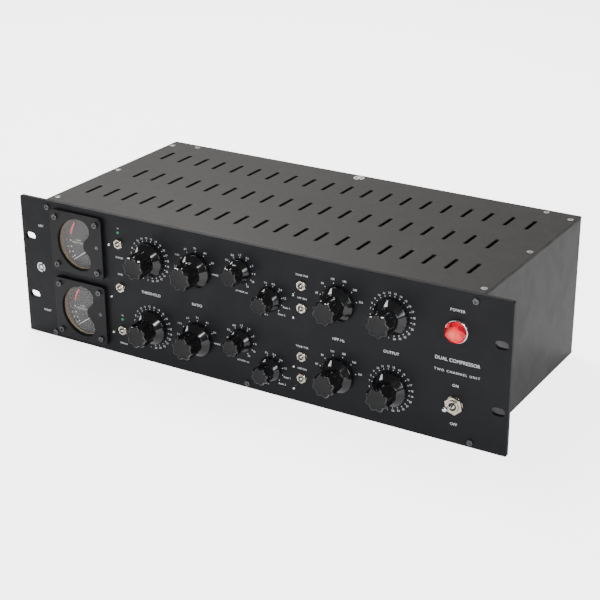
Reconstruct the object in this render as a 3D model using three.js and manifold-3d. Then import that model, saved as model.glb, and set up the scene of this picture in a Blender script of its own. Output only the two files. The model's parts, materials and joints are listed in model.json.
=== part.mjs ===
// Rack compressor: a two-channel, three-unit audio processor for a 19-inch rack.
// Millimetres, +Z up. The front panel faces -Y, and the part stands on four low rubber feet.
import * as THREE from 'three';
import { mergeVertices } from 'three/addons/utils/BufferGeometryUtils.js';
import Module from 'manifold-3d';

const wasm = await Module();
wasm.setup();

// ---------------------------------------------------------------- driving dimensions
const GAP = 0.3; // air left between separate pieces that meet
const CUT = 1; // how far a cutting solid runs past the faces it cuts

const PANEL_WIDTH = 482.6; // 19-inch rack panel
const PANEL_HEIGHT = 132.5; // three rack units, less clearance
const PANEL_THICKNESS = 4;
const PANEL_MIDDLE = PANEL_HEIGHT / 2;
const CHANNEL_PITCH = 64; // height between the two rows of controls

const RACK_SLOT = { x: 232.55, pitch: 57.15, length: 11.5, width: 6.8 };
const EAR_GROOVE = { x: 216.2, width: 0.6, depth: 0.4 }; // marks the rack ears off on the panel's back

const CHASSIS = {
  width: 430,
  rear: 205,
  bottom: 2,
  top: 132,
  sheet: 1.5,
  flange: 12,
};
const COVER_FRONT = 5; // top cover's front edge, just behind the panel
const VENT = { length: 23.5, width: 3, pitch: 20, rowPitch: 57, middleX: -4.5, middleY: 104.5 };
const VENT_ROWS = [20, 19, 20]; // slots in each row

const FOOT = { radius: 6, height: 1.8, x: 190, inset: 22 };

const METER = {
  x: -176.3,
  bezelSize: 57,
  bezelCorner: 4,
  bezelThickness: 3.5,
  window: { middle: 3, lobeX: 5.5, lobeRise: 14.3, lobeRadius: 9.5, biteX: 15.4 },
  pivotOffset: 16.5,
  barrelRadius: 26,
  barrelWall: 1.4,
  depth: 34,
  dialDepth: 3.4,
  dialThickness: 0.8,
  needleReach: 31,
  needleWidth: 0.9,
  restAngle: 215,
  movement: { half: 11, front: 14 },
  stud: { offset: 9, radius: 2, length: 8 },
};

const LARGE_KNOB = {
  skirtRadius: 15.3,
  skirtHeight: 4.4,
  gripFoot: 9.3,
  gripRadius: 11,
  gripValley: 9.5,
  height: 25,
};
const SMALL_KNOB = {
  skirtRadius: 10.8,
  skirtHeight: 3.6,
  gripFoot: 7.5,
  gripRadius: 8.6,
  gripValley: 7.3,
  height: 18.5,
};
const KNOB_LIFT = 0.6; // the skirt's lower edge runs just clear of the panel
const KNOB_LOBES = 8;
const SHAFT_RADIUS = 3;
const SHAFT_END = 16;

// Controls of one channel: x from the panel's middle, rise above the channel's row.
const KNOBS = [
  { name: 'threshold', x: -99, rise: 0, size: LARGE_KNOB },
  { name: 'ratio', x: -50.5, rise: 0, size: LARGE_KNOB },
  { name: 'attack', x: -5.3, rise: 8.9, size: SMALL_KNOB },
  { name: 'release', x: 23.6, rise: -10.3, size: SMALL_KNOB },
  { name: 'filter', x: 89, rise: 0, size: LARGE_KNOB },
  { name: 'output', x: 138, rise: 0, size: LARGE_KNOB },
];

const ROTARY = { radius: 12.5, front: 4.4, bushing: 4.7, bore: 3.4 };
const ROTARY_PINS = 21.7; // depth at which the switches' wafers end on the control board
const CONTROL_BOARD = { left: -116, right: 156, halfHeight: 28, thickness: 1.6 };

const SMALL_TOGGLE = {
  pivot: 1.6, // height of the lever's ball above the panel
  tilt: 17,
  ball: 1.6,
  stem: 0.6,
  tip: 1.2,
  reach: 13.4,
  bushing: 2.9,
  bushingHeight: 2.8,
  mouth: 2.2,
  nut: 8,
  nutHeight: 1.8,
  bodyWidth: 8,
  bodyHeight: 13,
  bodyDepth: 10,
};
const POWER_TOGGLE = {
  pivot: 2.6,
  tilt: 15,
  ball: 2.6,
  stem: 1.1,
  tip: 2.3,
  reach: 17.8,
  bushing: 5.2,
  bushingHeight: 4.2,
  mouth: 3.4,
  nut: 14,
  nutHeight: 2.7,
  bodyWidth: 15,
  bodyHeight: 29,
  bodyDepth: 22,
};
const SWITCH_ROW = PANEL_MIDDLE - 0.8; // the link switch; the bypass switches stand off from it
const BYPASS_RISE = 41.25;
const TOGGLES = [
  { name: 'left_bypass', x: -131.8, z: SWITCH_ROW + BYPASS_RISE, up: true, size: SMALL_TOGGLE },
  { name: 'link', x: -131.8, z: SWITCH_ROW, up: false, size: SMALL_TOGGLE },
  { name: 'right_bypass', x: -131.8, z: SWITCH_ROW - BYPASS_RISE, up: true, size: SMALL_TOGGLE },
  { name: 'power', x: 195, z: PANEL_MIDDLE - CHANNEL_PITCH / 2, up: true, size: POWER_TOGGLE },
];
const CHANNEL_TOGGLES = [
  { name: 'tone', x: 54.7, rise: 8.7 },
  { name: 'filter', x: 54.7, rise: -11.3 },
];

const LAMP = {
  x: 195,
  flange: 10,
  flangeHeight: 2.2,
  barrel: 8,
  depth: 24,
  lensFoot: 8.4,
  lens: 9.3,
  lensHeight: 8.8,
  wall: 1.2,
};

const REAR_REACH = 206; // the mains inlet's face, the rearmost surface
const XLR = { width: 26, height: 31, flange: 2, shell: 11.6, bore: 9.6, boreDepth: 13, depth: 20 };
const XLR_INSERT = 7.9;
const XLR_CONTACTS = { radius: 5, hole: 1.5, depth: 8 };
const XLR_ROW = 84;
const CONNECTORS = [
  { name: 'left_input', x: -58, insert: true },
  { name: 'left_output', x: -96, insert: false },
  { name: 'right_input', x: -144, insert: true },
  { name: 'right_output', x: -182, insert: false },
];
const INLET = {
  x: 172,
  z: 84,
  width: 50,
  height: 36,
  cavityWidth: 25,
  cavityHeight: 17,
  cavityDrop: 6,
  cavityDepth: 15,
  bodyWidth: 31,
  bodyHeight: 32,
  depth: 26,
};

const TRANSFORMER = { x: 132, y: 118, outer: 52, inner: 18, height: 46, round: 8 };
const BOARD_LIFT = 8;
const POWER_BOARD = { left: -6, right: 70, front: 50, back: 180 };
const AUDIO_BOARD = { left: -200, right: -20, front: 50, back: 180 };
const BOARD_THICKNESS = 1.6;
const AUDIO_TRANSFORMER = { width: 34, depth: 30, height: 36 };

// ---------------------------------------------------------------- materials
function finish(color, roughness, metalness, extra = {}) {
  return new THREE.MeshStandardMaterial({ color, roughness, metalness, ...extra });
}

const PANEL_BLACK = () => finish(0x131416, 0.55, 0.2);
const SHEET_BLACK = () => finish(0x26272a, 0.6, 0.2);
const KNOB_BLACK = () => finish(0x0b0b0c, 0.25, 0);
const PLASTIC_BLACK = () => finish(0x151515, 0.6, 0);
const NICKEL = () => finish(0xc9c2b2, 0.28, 1);
const CHROME = () => finish(0xdadcde, 0.12, 1);
const BOARD_GREEN = () => finish(0x17452b, 0.5, 0);
const COPPER = () => finish(0xa8622f, 0.4, 0.8);
const RUBBER = () => finish(0x101010, 0.9, 0);

// ---------------------------------------------------------------- solids
function turnFacesOut(index, position) {
  const a = new THREE.Vector3();
  const b = new THREE.Vector3();
  const c = new THREE.Vector3();
  let volume = 0;
  for (let i = 0; i < index.length; i += 3) {
    a.fromBufferAttribute(position, index[i]);
    b.fromBufferAttribute(position, index[i + 1]);
    c.fromBufferAttribute(position, index[i + 2]);
    volume += a.dot(b.cross(c));
  }
  if (volume >= 0) return index;
  return index.map((_, i) => index[i - (i % 3) + (2 - (i % 3))]);
}

// A three.js geometry as a solid that can be cut and joined.
function solid(geometry) {
  const bare = geometry.clone();
  bare.deleteAttribute('normal');
  bare.deleteAttribute('uv');
  const merged = mergeVertices(bare, 1e-4);
  const all = Array.from(merged.index.array);
  const kept = [];
  for (let i = 0; i < all.length; i += 3) {
    const [a, b, c] = all.slice(i, i + 3);
    if (a !== b && b !== c && c !== a) kept.push(a, b, c);
  }
  const position = merged.attributes.position;
  return new wasm.Manifold(new wasm.Mesh({
    numProp: 3,
    vertProperties: new Float32Array(position.array),
    triVerts: new Uint32Array(turnFacesOut(kept, position)),
  }));
}

function join(first, ...rest) {
  return rest.reduce((whole, piece) => whole.add(piece), first);
}

function cut(first, ...rest) {
  return rest.reduce((whole, piece) => whole.subtract(piece), first);
}

function block(x0, x1, y0, y1, z0, z1) {
  const geometry = new THREE.BoxGeometry(x1 - x0, y1 - y0, z1 - z0);
  return solid(geometry.translate((x0 + x1) / 2, (y0 + y1) / 2, (z0 + z1) / 2));
}

// A disc or rod whose axis runs front to back.
function rod(x, z, radius, y0, y1, sides) {
  const geometry = new THREE.CylinderGeometry(radius, radius, y1 - y0, sides);
  return solid(geometry.translate(x, (y0 + y1) / 2, z));
}

// A disc or rod whose axis is upright.
function post(x, y, radius, z0, z1, sides) {
  const geometry = new THREE.CylinderGeometry(radius, radius, z1 - z0, sides);
  return solid(geometry.rotateX(Math.PI / 2).translate(x, y, (z0 + z1) / 2));
}

// A turned solid around a front-to-back axis: profile points are (radius, y) and close on the axis.
function turned(profile, sides, x = 0, z = 0) {
  const points = profile.map(([radius, y]) => new THREE.Vector2(radius, y));
  return solid(new THREE.LatheGeometry(points, sides).translate(x, 0, z));
}

// An outline drawn as seen from the front, given thickness from y0 back to y1.
function upright(shape, y0, y1, curveSegments = 4) {
  const options = { depth: y1 - y0, bevelEnabled: false, curveSegments };
  return solid(new THREE.ExtrudeGeometry(shape, options).rotateX(Math.PI / 2).translate(0, y1, 0));
}

// An outline drawn as seen from above, given thickness from z0 up to z1.
function level(shape, z0, z1, curveSegments = 4) {
  const options = { depth: z1 - z0, bevelEnabled: false, curveSegments };
  return solid(new THREE.ExtrudeGeometry(shape, options).translate(0, 0, z0));
}

function roundedRectangle(x, y, width, height, radius) {
  const shape = new THREE.Shape();
  const [left, right] = [x - width / 2, x + width / 2];
  const [low, high] = [y - height / 2, y + height / 2];
  shape.moveTo(left + radius, low);
  shape.lineTo(right - radius, low);
  shape.absarc(right - radius, low + radius, radius, -Math.PI / 2, 0);
  shape.lineTo(right, high - radius);
  shape.absarc(right - radius, high - radius, radius, 0, Math.PI / 2);
  shape.lineTo(left + radius, high);
  shape.absarc(left + radius, high - radius, radius, Math.PI / 2, Math.PI);
  shape.lineTo(left, low + radius);
  shape.absarc(left + radius, low + radius, radius, Math.PI, Math.PI * 1.5);
  return shape;
}

// A slot with round ends, long along x, or along y when upright is true.
function slotPath(x, y, length, width, isUpright = false) {
  const radius = width / 2;
  const reach = length / 2 - radius;
  const path = new THREE.Path();
  const turn = isUpright ? Math.PI / 2 : 0;
  const [dx, dy] = [Math.cos(turn) * reach, Math.sin(turn) * reach];
  path.absarc(x + dx, y + dy, radius, turn - Math.PI / 2, turn + Math.PI / 2);
  path.absarc(x - dx, y - dy, radius, turn + Math.PI / 2, turn + Math.PI * 1.5);
  path.closePath();
  return path;
}

// ---------------------------------------------------------------- assembly
const rack = new THREE.Group();

function add(name, shape, material) {
  const mesh = shape.getMesh();
  const geometry = new THREE.BufferGeometry();
  geometry.setAttribute('position', new THREE.BufferAttribute(mesh.vertProperties, 3));
  geometry.setIndex(new THREE.BufferAttribute(mesh.triVerts, 1));
  geometry.computeVertexNormals();
  const part = new THREE.Mesh(geometry, material);
  part.name = name;
  rack.add(part);
  return part;
}

const CHANNELS = [
  { name: 'left', row: PANEL_MIDDLE + CHANNEL_PITCH / 2 },
  { name: 'right', row: PANEL_MIDDLE - CHANNEL_PITCH / 2 },
];

function allToggles() {
  const perChannel = CHANNELS.flatMap((channel) => CHANNEL_TOGGLES.map((toggle) => ({
    name: `${channel.name}_${toggle.name}`,
    x: toggle.x,
    z: channel.row + toggle.rise,
    up: false,
    size: SMALL_TOGGLE,
  })));
  return [...TOGGLES, ...perChannel];
}

// ---------------------------------------------------------------- front panel
function panelHoles() {
  const holes = [];
  const cutter = (x, z, radius, sides) => {
    holes.push(rod(x, z, radius, -CUT, PANEL_THICKNESS + CUT, sides));
  };
  for (const channel of CHANNELS) {
    cutter(METER.x, channel.row, METER.barrelRadius + GAP * 2, 24);
    for (const knob of KNOBS) cutter(knob.x, channel.row + knob.rise, ROTARY.bushing + GAP * 2, 8);
  }
  for (const toggle of allToggles()) cutter(toggle.x, toggle.z, toggle.size.bushing + GAP * 2, 8);
  cutter(LAMP.x, CHANNELS[0].row, LAMP.barrel + GAP * 2, 16);
  return holes;
}

function frontPanel() {
  const outline = roundedRectangle(0, PANEL_MIDDLE, PANEL_WIDTH, PANEL_HEIGHT, 1.2);
  for (const side of [-1, 1]) {
    for (const level of [-1, 1]) {
      const z = PANEL_MIDDLE + level * RACK_SLOT.pitch / 2;
      outline.holes.push(slotPath(side * RACK_SLOT.x, z, RACK_SLOT.length, RACK_SLOT.width));
    }
  }
  const grooves = [-1, 1].map((side) => block(
    side * EAR_GROOVE.x - EAR_GROOVE.width / 2, side * EAR_GROOVE.x + EAR_GROOVE.width / 2,
    PANEL_THICKNESS - EAR_GROOVE.depth, PANEL_THICKNESS + CUT, -CUT, PANEL_HEIGHT + CUT,
  ));
  const plate = upright(outline, 0, PANEL_THICKNESS, 5);
  add('front_panel', cut(plate, ...panelHoles(), ...grooves), PANEL_BLACK());
}

// ---------------------------------------------------------------- chassis
const CHASSIS_FRONT = PANEL_THICKNESS + GAP;
const WALL_BOTTOM = CHASSIS.bottom + CHASSIS.sheet + GAP;
const WALL_TOP = CHASSIS.top - CHASSIS.sheet - GAP;
const REAR_PANEL_OUTER = CHASSIS.rear - CHASSIS.sheet - GAP;
const REAR_PANEL_INNER = REAR_PANEL_OUTER - CHASSIS.sheet;

function topCover() {
  const depth = CHASSIS.rear - COVER_FRONT;
  const outline = roundedRectangle(0, COVER_FRONT + depth / 2, CHASSIS.width, depth, 1.5);
  VENT_ROWS.forEach((count, row) => {
    const y = VENT.middleY + (row - 1) * VENT.rowPitch;
    for (let i = 0; i < count; i += 1) {
      const x = VENT.middleX + (i - (count - 1) / 2) * VENT.pitch;
      outline.holes.push(slotPath(x, y, VENT.length, VENT.width, true));
    }
  });
  add('top_cover', level(outline, CHASSIS.top - CHASSIS.sheet, CHASSIS.top, 1), SHEET_BLACK());
}

function bottomCover() {
  const depth = CHASSIS.rear - CHASSIS_FRONT;
  const outline = roundedRectangle(0, CHASSIS_FRONT + depth / 2, CHASSIS.width, depth, 1.5);
  add('bottom_cover', level(outline, CHASSIS.bottom, CHASSIS.bottom + CHASSIS.sheet, 2), SHEET_BLACK());
}

// A folded side: an upright web with flanges turned inwards along all four edges.
function sidePanel(name, side) {
  const outer = CHASSIS.width / 2;
  const inner = outer - CHASSIS.sheet;
  const web = level(
    roundedRectangle(outer - CHASSIS.flange / 2, (CHASSIS_FRONT + CHASSIS.rear) / 2,
      CHASSIS.flange, CHASSIS.rear - CHASSIS_FRONT, 1.5),
    WALL_BOTTOM, WALL_TOP, 3,
  );
  const hollow = block(
    outer - CHASSIS.flange - CUT, inner,
    CHASSIS_FRONT + CHASSIS.sheet, CHASSIS.rear - CHASSIS.sheet,
    WALL_BOTTOM + CHASSIS.sheet, WALL_TOP - CHASSIS.sheet,
  );
  const folded = cut(web, hollow);
  add(name, side > 0 ? folded : folded.mirror([1, 0, 0]), SHEET_BLACK());
}

function rearPanel() {
  const half = CHASSIS.width / 2 - CHASSIS.sheet - GAP;
  const low = WALL_BOTTOM + CHASSIS.sheet + GAP;
  const high = WALL_TOP - CHASSIS.sheet - GAP;
  const flangeHalf = CHASSIS.width / 2 - CHASSIS.flange - GAP * 2;
  const plate = block(-half, half, REAR_PANEL_INNER, REAR_PANEL_OUTER, low, high);
  const flangeFront = REAR_PANEL_OUTER - CHASSIS.flange;
  const topFlange = block(
    -flangeHalf, flangeHalf, flangeFront, REAR_PANEL_OUTER, high - CHASSIS.sheet, WALL_TOP,
  );
  const bottomFlange = block(
    -flangeHalf, flangeHalf, flangeFront, REAR_PANEL_OUTER, WALL_BOTTOM, low + CHASSIS.sheet,
  );
  const holes = CONNECTORS.map((connector) => rod(
    connector.x, XLR_ROW, XLR.shell + GAP, REAR_PANEL_INNER - CUT, REAR_PANEL_OUTER + CUT, 16,
  ));
  holes.push(block(
    INLET.x - INLET.bodyWidth / 2 - GAP, INLET.x + INLET.bodyWidth / 2 + GAP,
    REAR_PANEL_INNER - CUT, REAR_PANEL_OUTER + CUT,
    INLET.z - INLET.bodyHeight / 2 - GAP, INLET.z + INLET.bodyHeight / 2 + GAP,
  ));
  add('rear_panel', cut(join(plate, topFlange, bottomFlange), ...holes), SHEET_BLACK());
}

function feet() {
  const places = [
    ['front_left_foot', -FOOT.x, CHASSIS_FRONT + FOOT.inset],
    ['front_right_foot', FOOT.x, CHASSIS_FRONT + FOOT.inset],
    ['rear_left_foot', -FOOT.x, CHASSIS.rear - FOOT.inset],
    ['rear_right_foot', FOOT.x, CHASSIS.rear - FOOT.inset],
  ];
  for (const [name, x, y] of places) add(name, post(x, y, FOOT.radius, 0, FOOT.height, 12), RUBBER());
}

// ---------------------------------------------------------------- meters
function meterBezel(channel) {
  const { x, bezelSize, bezelCorner, bezelThickness } = METER;
  const outline = roundedRectangle(x, channel.row, bezelSize, bezelSize, bezelCorner);
  const front = -GAP - bezelThickness;
  const frame = upright(outline, front, -GAP, 3);
  const opening = upright(beanOutline(x, channel.row), front - CUT, CUT, 12);
  add(`${channel.name}_meter_bezel`, cut(frame, opening), PLASTIC_BLACK());
}

// The window is a bean: a large arc on the left, a lobe at each end and a bite between the
// lobes, where the cover over the needle's pivot reaches in. All the arcs are tangent.
function beanOutline(x, z) {
  const { middle, lobeX, lobeRise, lobeRadius, biteX } = METER.window;
  const large = Math.hypot(lobeX - middle, lobeRise) + lobeRadius;
  const bite = Math.hypot(biteX - lobeX, lobeRise) - lobeRadius;
  const largeTurn = Math.atan2(lobeRise, lobeX - middle);
  const biteTurn = Math.atan2(lobeRise, biteX - lobeX);
  const shape = new THREE.Shape();
  shape.absarc(x + middle, z, large, largeTurn, 2 * Math.PI - largeTurn, false);
  shape.absarc(x + lobeX, z - lobeRise, lobeRadius, -largeTurn, biteTurn, false);
  shape.absarc(x + biteX, z, bite, Math.PI + biteTurn, Math.PI - biteTurn, true);
  shape.absarc(x + lobeX, z + lobeRise, lobeRadius, -biteTurn, largeTurn, false);
  return shape;
}

function meterCase(channel) {
  const { x, barrelRadius, barrelWall, depth } = METER;
  const inner = barrelRadius - barrelWall;
  const cup = turned([
    [0, depth], [barrelRadius, depth], [barrelRadius, 0], [inner, 0],
    [inner, depth - 2], [0, depth - 2], [0, depth],
  ], 24, x, channel.row);
  const { movement, stud } = METER;
  const movementX = x + METER.pivotOffset / 2;
  const coil = block(
    movementX - movement.half, movementX + movement.half, movement.front, depth - CUT,
    channel.row - movement.half, channel.row + movement.half,
  );
  const studs = [-stud.offset, stud.offset].map((offset) => rod(
    x, channel.row + offset, stud.radius, depth - CUT, depth + stud.length, 8,
  ));
  add(`${channel.name}_meter_case`, join(cup, coil, ...studs), PLASTIC_BLACK());
}

function meterWindow(channel) {
  const radius = METER.barrelRadius - METER.barrelWall - GAP;
  const glass = finish(0xffffff, 0.05, 0, { transparent: true, opacity: 0.2 });
  add(`${channel.name}_meter_window`, rod(METER.x, channel.row, radius, 0, 1, 24), glass);
}

function meterDial(channel) {
  const radius = METER.barrelRadius - METER.barrelWall - GAP;
  const back = METER.dialDepth + METER.dialThickness;
  const disc = rod(METER.x, channel.row, radius, METER.dialDepth, back, 24);
  const staffHole = rod(
    METER.x + METER.pivotOffset, channel.row, 1.6, METER.dialDepth - CUT, back + CUT, 10,
  );
  add(`${channel.name}_meter_dial`, cut(disc, staffHole), finish(0x3c3834, 0.7, 0));
}

function meterNeedle(channel) {
  const pivotX = METER.x + METER.pivotOffset;
  const front = METER.dialDepth - 1.5;
  const pointer = new THREE.BoxGeometry(METER.needleReach, 0.4, METER.needleWidth)
    .translate(METER.needleReach / 2, front + 0.4, 0)
    .rotateY(-THREE.MathUtils.degToRad(METER.restAngle))
    .translate(pivotX, 0, channel.row);
  const hub = rod(pivotX, channel.row, 2.2, front, front + 0.9, 12);
  const staff = rod(pivotX, channel.row, 0.9, front, 12, 8);
  add(`${channel.name}_meter_needle`, join(solid(pointer), hub, staff), finish(0xf2efe6, 0.5, 0));
}

// ---------------------------------------------------------------- knobs and rotary switches
function lobedOutline(x, z, size) {
  const middle = (size.gripRadius + size.gripValley) / 2;
  const wave = (size.gripRadius - size.gripValley) / 2;
  const steps = KNOB_LOBES * 4;
  const shape = new THREE.Shape();
  for (let i = 0; i < steps; i += 1) {
    const angle = (i / steps) * Math.PI * 2;
    const radius = middle + wave * Math.cos(KNOB_LOBES * angle);
    const [px, pz] = [x + radius * Math.cos(angle), z + radius * Math.sin(angle)];
    if (i === 0) shape.moveTo(px, pz);
    else shape.lineTo(px, pz);
  }
  shape.closePath();
  return shape;
}

function knob(channel, control) {
  const { size } = control;
  const z = channel.row + control.rise;
  const skirt = turned([
    [0, SHAFT_END], [SHAFT_RADIUS, SHAFT_END],
    [SHAFT_RADIUS, -KNOB_LIFT], [size.skirtRadius, -KNOB_LIFT],
    [size.skirtRadius, -size.skirtHeight], [size.gripValley, -size.gripFoot],
    [0, -size.gripFoot], [0, SHAFT_END],
  ], 20, control.x, z);
  const grip = upright(lobedOutline(control.x, z, size), -size.height, -size.gripFoot + CUT);
  add(`${channel.name}_${control.name}_knob`, join(skirt, grip), KNOB_BLACK());
}

// The switches of one channel, soldered to the board that joins them.
function controlBoard(channel) {
  const board = block(
    CONTROL_BOARD.left, CONTROL_BOARD.right,
    ROTARY_PINS, ROTARY_PINS + CONTROL_BOARD.thickness,
    channel.row - CONTROL_BOARD.halfHeight, channel.row + CONTROL_BOARD.halfHeight,
  );
  const back = ROTARY_PINS + CONTROL_BOARD.thickness / 2;
  const switches = KNOBS.map((control) => turned([
    [0, back], [ROTARY.radius, back], [ROTARY.radius, ROTARY.front], [ROTARY.bushing, ROTARY.front],
    [ROTARY.bushing, 0], [ROTARY.bore, 0],
    [ROTARY.bore, SHAFT_END + GAP], [0, SHAFT_END + GAP], [0, back],
  ], 10, control.x, channel.row + control.rise));
  add(`${channel.name}_control_board`, join(board, ...switches), BOARD_GREEN());
}

// ---------------------------------------------------------------- toggle switches
function toggleBody(toggle) {
  const { x, z, size } = toggle;
  const back = CHASSIS_FRONT + size.bodyDepth;
  const seat = -size.pivot + size.ball;
  const threaded = turned([
    [0, CHASSIS_FRONT + 2 * CUT], [size.bushing, CHASSIS_FRONT + 2 * CUT],
    [size.bushing, -size.bushingHeight], [size.mouth, -size.bushingHeight],
    [size.ball + GAP, -size.pivot - size.ball / 2], [size.ball + GAP, seat + GAP],
    [0, seat + GAP], [0, CHASSIS_FRONT + 2 * CUT],
  ], 12, x, z);
  const nutRadius = size.nut / Math.sqrt(3);
  const nut = cut(
    rod(x, z, nutRadius, -GAP - size.nutHeight, -GAP, 6),
    rod(x, z, size.bushing - 0.4, -GAP - size.nutHeight - CUT, CUT, 8),
  );
  const housing = block(
    x - size.bodyWidth / 2, x + size.bodyWidth / 2, CHASSIS_FRONT, back,
    z - size.bodyHeight / 2, z + size.bodyHeight / 2,
  );
  add(`${toggle.name}_switch_body`, join(threaded, nut, housing), NICKEL());
}

// A ball for the pivot, a tapering stem and a round tip, turned in one piece.
function toggleLever(toggle) {
  const { size } = toggle;
  const { ball, stem, tip, reach } = size;
  const tipCentre = -reach + tip;
  const lever = turned([
    [0, ball], [ball * 0.7, ball * 0.7], [ball, 0], [stem, -Math.sqrt(ball ** 2 - stem ** 2)],
    [tip * 0.9, tipCentre + tip * 0.4], [tip, tipCentre], [tip * 0.7, tipCentre - tip * 0.7],
    [0, -reach], [0, ball],
  ], 10);
  const tilt = toggle.up ? -size.tilt : size.tilt;
  const placed = lever.rotate([tilt, 0, 0]).translate([toggle.x, -size.pivot, toggle.z]);
  add(`${toggle.name}_switch_lever`, placed, CHROME());
}

// ---------------------------------------------------------------- power lamp
function lamp() {
  const z = CHANNELS[0].row;
  const { flange, flangeHeight, barrel, depth, wall } = LAMP;
  const seat = -1;
  const rest = -flangeHeight - GAP;
  const bezel = turned([
    [0, depth], [barrel, depth], [barrel, -GAP], [flange, -GAP], [flange, -flangeHeight + 1],
    [flange - 1, -flangeHeight], [barrel + wall - GAP, -flangeHeight],
    [barrel + wall - GAP, seat], [barrel - wall, seat], [barrel - wall, depth - 2],
    [0, depth - 2], [0, depth],
  ], 20, LAMP.x, z);
  const jewel = turned([
    [0, seat - GAP], [LAMP.lensFoot, seat - GAP], [LAMP.lensFoot, rest], [LAMP.lens, rest],
    [LAMP.lens, rest - 1.8], [LAMP.lens * 0.84, rest - 4], [LAMP.lens * 0.5, -LAMP.lensHeight],
    [0, -LAMP.lensHeight], [0, seat - GAP],
  ], 12, LAMP.x, z);
  add('lamp_bezel', bezel, CHROME());
  add('lamp_jewel', jewel, finish(0xe3141c, 0.15, 0, { emissive: 0x8a0508 }));
}

// ---------------------------------------------------------------- rear connectors
function connector({ name, x, insert }) {
  const face = REAR_PANEL_OUTER + GAP + XLR.flange;
  const floor = face - XLR.boreDepth;
  const flange = upright(
    roundedRectangle(x, XLR_ROW, XLR.width, XLR.height, 2), REAR_PANEL_OUTER + GAP, face, 2,
  );
  const shell = rod(x, XLR_ROW, XLR.shell, face - XLR.depth, face - CUT, 16);
  const bore = rod(x, XLR_ROW, XLR.bore, floor, face + CUT, 16);
  const cup = cut(join(flange, shell), bore);
  if (!insert) {
    add(`${name}_socket`, cup, NICKEL());
    return;
  }
  const plug = rod(x, XLR_ROW, XLR_INSERT, floor - CUT, face - 0.5, 16);
  const contacts = [90, 210, 330].map((degrees) => {
    const angle = THREE.MathUtils.degToRad(degrees);
    const contactX = x + XLR_CONTACTS.radius * Math.cos(angle);
    const contactZ = XLR_ROW - XLR_CONTACTS.radius * Math.sin(angle);
    return rod(contactX, contactZ, XLR_CONTACTS.hole, face - XLR_CONTACTS.depth, face + CUT, 6);
  });
  add(`${name}_socket`, cut(join(cup, plug), ...contacts), NICKEL());
}

function mainsInlet() {
  const { x, z } = INLET;
  const flange = upright(
    roundedRectangle(x, z, INLET.width, INLET.height, 3), REAR_PANEL_OUTER + GAP, REAR_REACH, 2,
  );
  const body = block(
    x - INLET.bodyWidth / 2, x + INLET.bodyWidth / 2, REAR_REACH - INLET.depth, REAR_REACH - CUT,
    z - INLET.bodyHeight / 2, z + INLET.bodyHeight / 2,
  );
  const cavityMiddle = z - INLET.cavityDrop;
  const cavity = block(
    x - INLET.cavityWidth / 2, x + INLET.cavityWidth / 2,
    REAR_REACH - INLET.cavityDepth, REAR_REACH + CUT,
    cavityMiddle - INLET.cavityHeight / 2, cavityMiddle + INLET.cavityHeight / 2,
  );
  add('mains_inlet', cut(join(flange, body), cavity), PLASTIC_BLACK());
}

// ---------------------------------------------------------------- inside the case
const FLOOR = CHASSIS.bottom + CHASSIS.sheet + GAP;

function mainsTransformer() {
  const { outer, inner, height, round } = TRANSFORMER;
  const low = FLOOR;
  const ring = new THREE.LatheGeometry([
    [inner, low + round], [inner + round, low], [outer - round, low], [outer, low + round],
    [outer, low + height - round], [outer - round, low + height], [inner + round, low + height],
    [inner, low + height - round], [inner, low + round],
  ].map(([radius, y]) => new THREE.Vector2(radius, y)), 20);
  ring.rotateX(Math.PI / 2).translate(TRANSFORMER.x, TRANSFORMER.y, 0);
  const plug = post(TRANSFORMER.x, TRANSFORMER.y, inner + 2, low + 2, low + height - 2, 16);
  add('mains_transformer', join(solid(ring), plug), COPPER());
}

function board(limits, parts) {
  const under = FLOOR + BOARD_LIFT;
  const plate = block(limits.left, limits.right, limits.front, limits.back, under, under + BOARD_THICKNESS);
  const legs = [];
  for (const x of [limits.left + 6, limits.right - 6]) {
    for (const y of [limits.front + 6, limits.back - 6]) legs.push(post(x, y, 3, FLOOR, under + 0.5, 8));
  }
  return join(plate, ...legs, ...parts(under + BOARD_THICKNESS / 2));
}

function powerBoard() {
  const parts = (base) => [
    post(16, 78, 12.5, base, base + 42, 14),
    post(46, 78, 12.5, base, base + 42, 14),
    post(16, 112, 9, base, base + 32, 12),
    block(34, 60, 104, 112, base, base + 34),
    block(0, 62, 150, 162, base, base + 30),
  ];
  add('power_board', board(POWER_BOARD, parts), BOARD_GREEN());
}

function audioBoard() {
  const { width, depth, height } = AUDIO_TRANSFORMER;
  const parts = (base) => [-182, -140, -98, -56].flatMap((x) => [
    block(x - width / 2, x + width / 2, 144, 144 + depth, base, base + height),
    post(x, 78, 9, base, base + 40, 8),
    post(x, 112, 5, base, base + 14, 6),
  ]);
  add('audio_board', board(AUDIO_BOARD, parts), BOARD_GREEN());
}

// ---------------------------------------------------------------- build
frontPanel();
topCover();
bottomCover();
sidePanel('left_side_panel', -1);
sidePanel('right_side_panel', 1);
rearPanel();
feet();
for (const channel of CHANNELS) {
  meterBezel(channel);
  meterCase(channel);
  meterWindow(channel);
  meterDial(channel);
  meterNeedle(channel);
  controlBoard(channel);
  for (const control of KNOBS) knob(channel, control);
}
for (const toggle of allToggles()) {
  toggleBody(toggle);
  toggleLever(toggle);
}
lamp();
CONNECTORS.forEach(connector);
mainsInlet();
mainsTransformer();
powerBoard();
audioBoard();

// The origin is the middle of the footprint: half way between the knobs' tops and the inlet's face.
rack.position.y = (LARGE_KNOB.height - REAR_REACH) / 2;

export default rack;
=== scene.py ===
import json
import math

import bmesh
import bpy
from mathutils import Matrix, Vector


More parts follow.
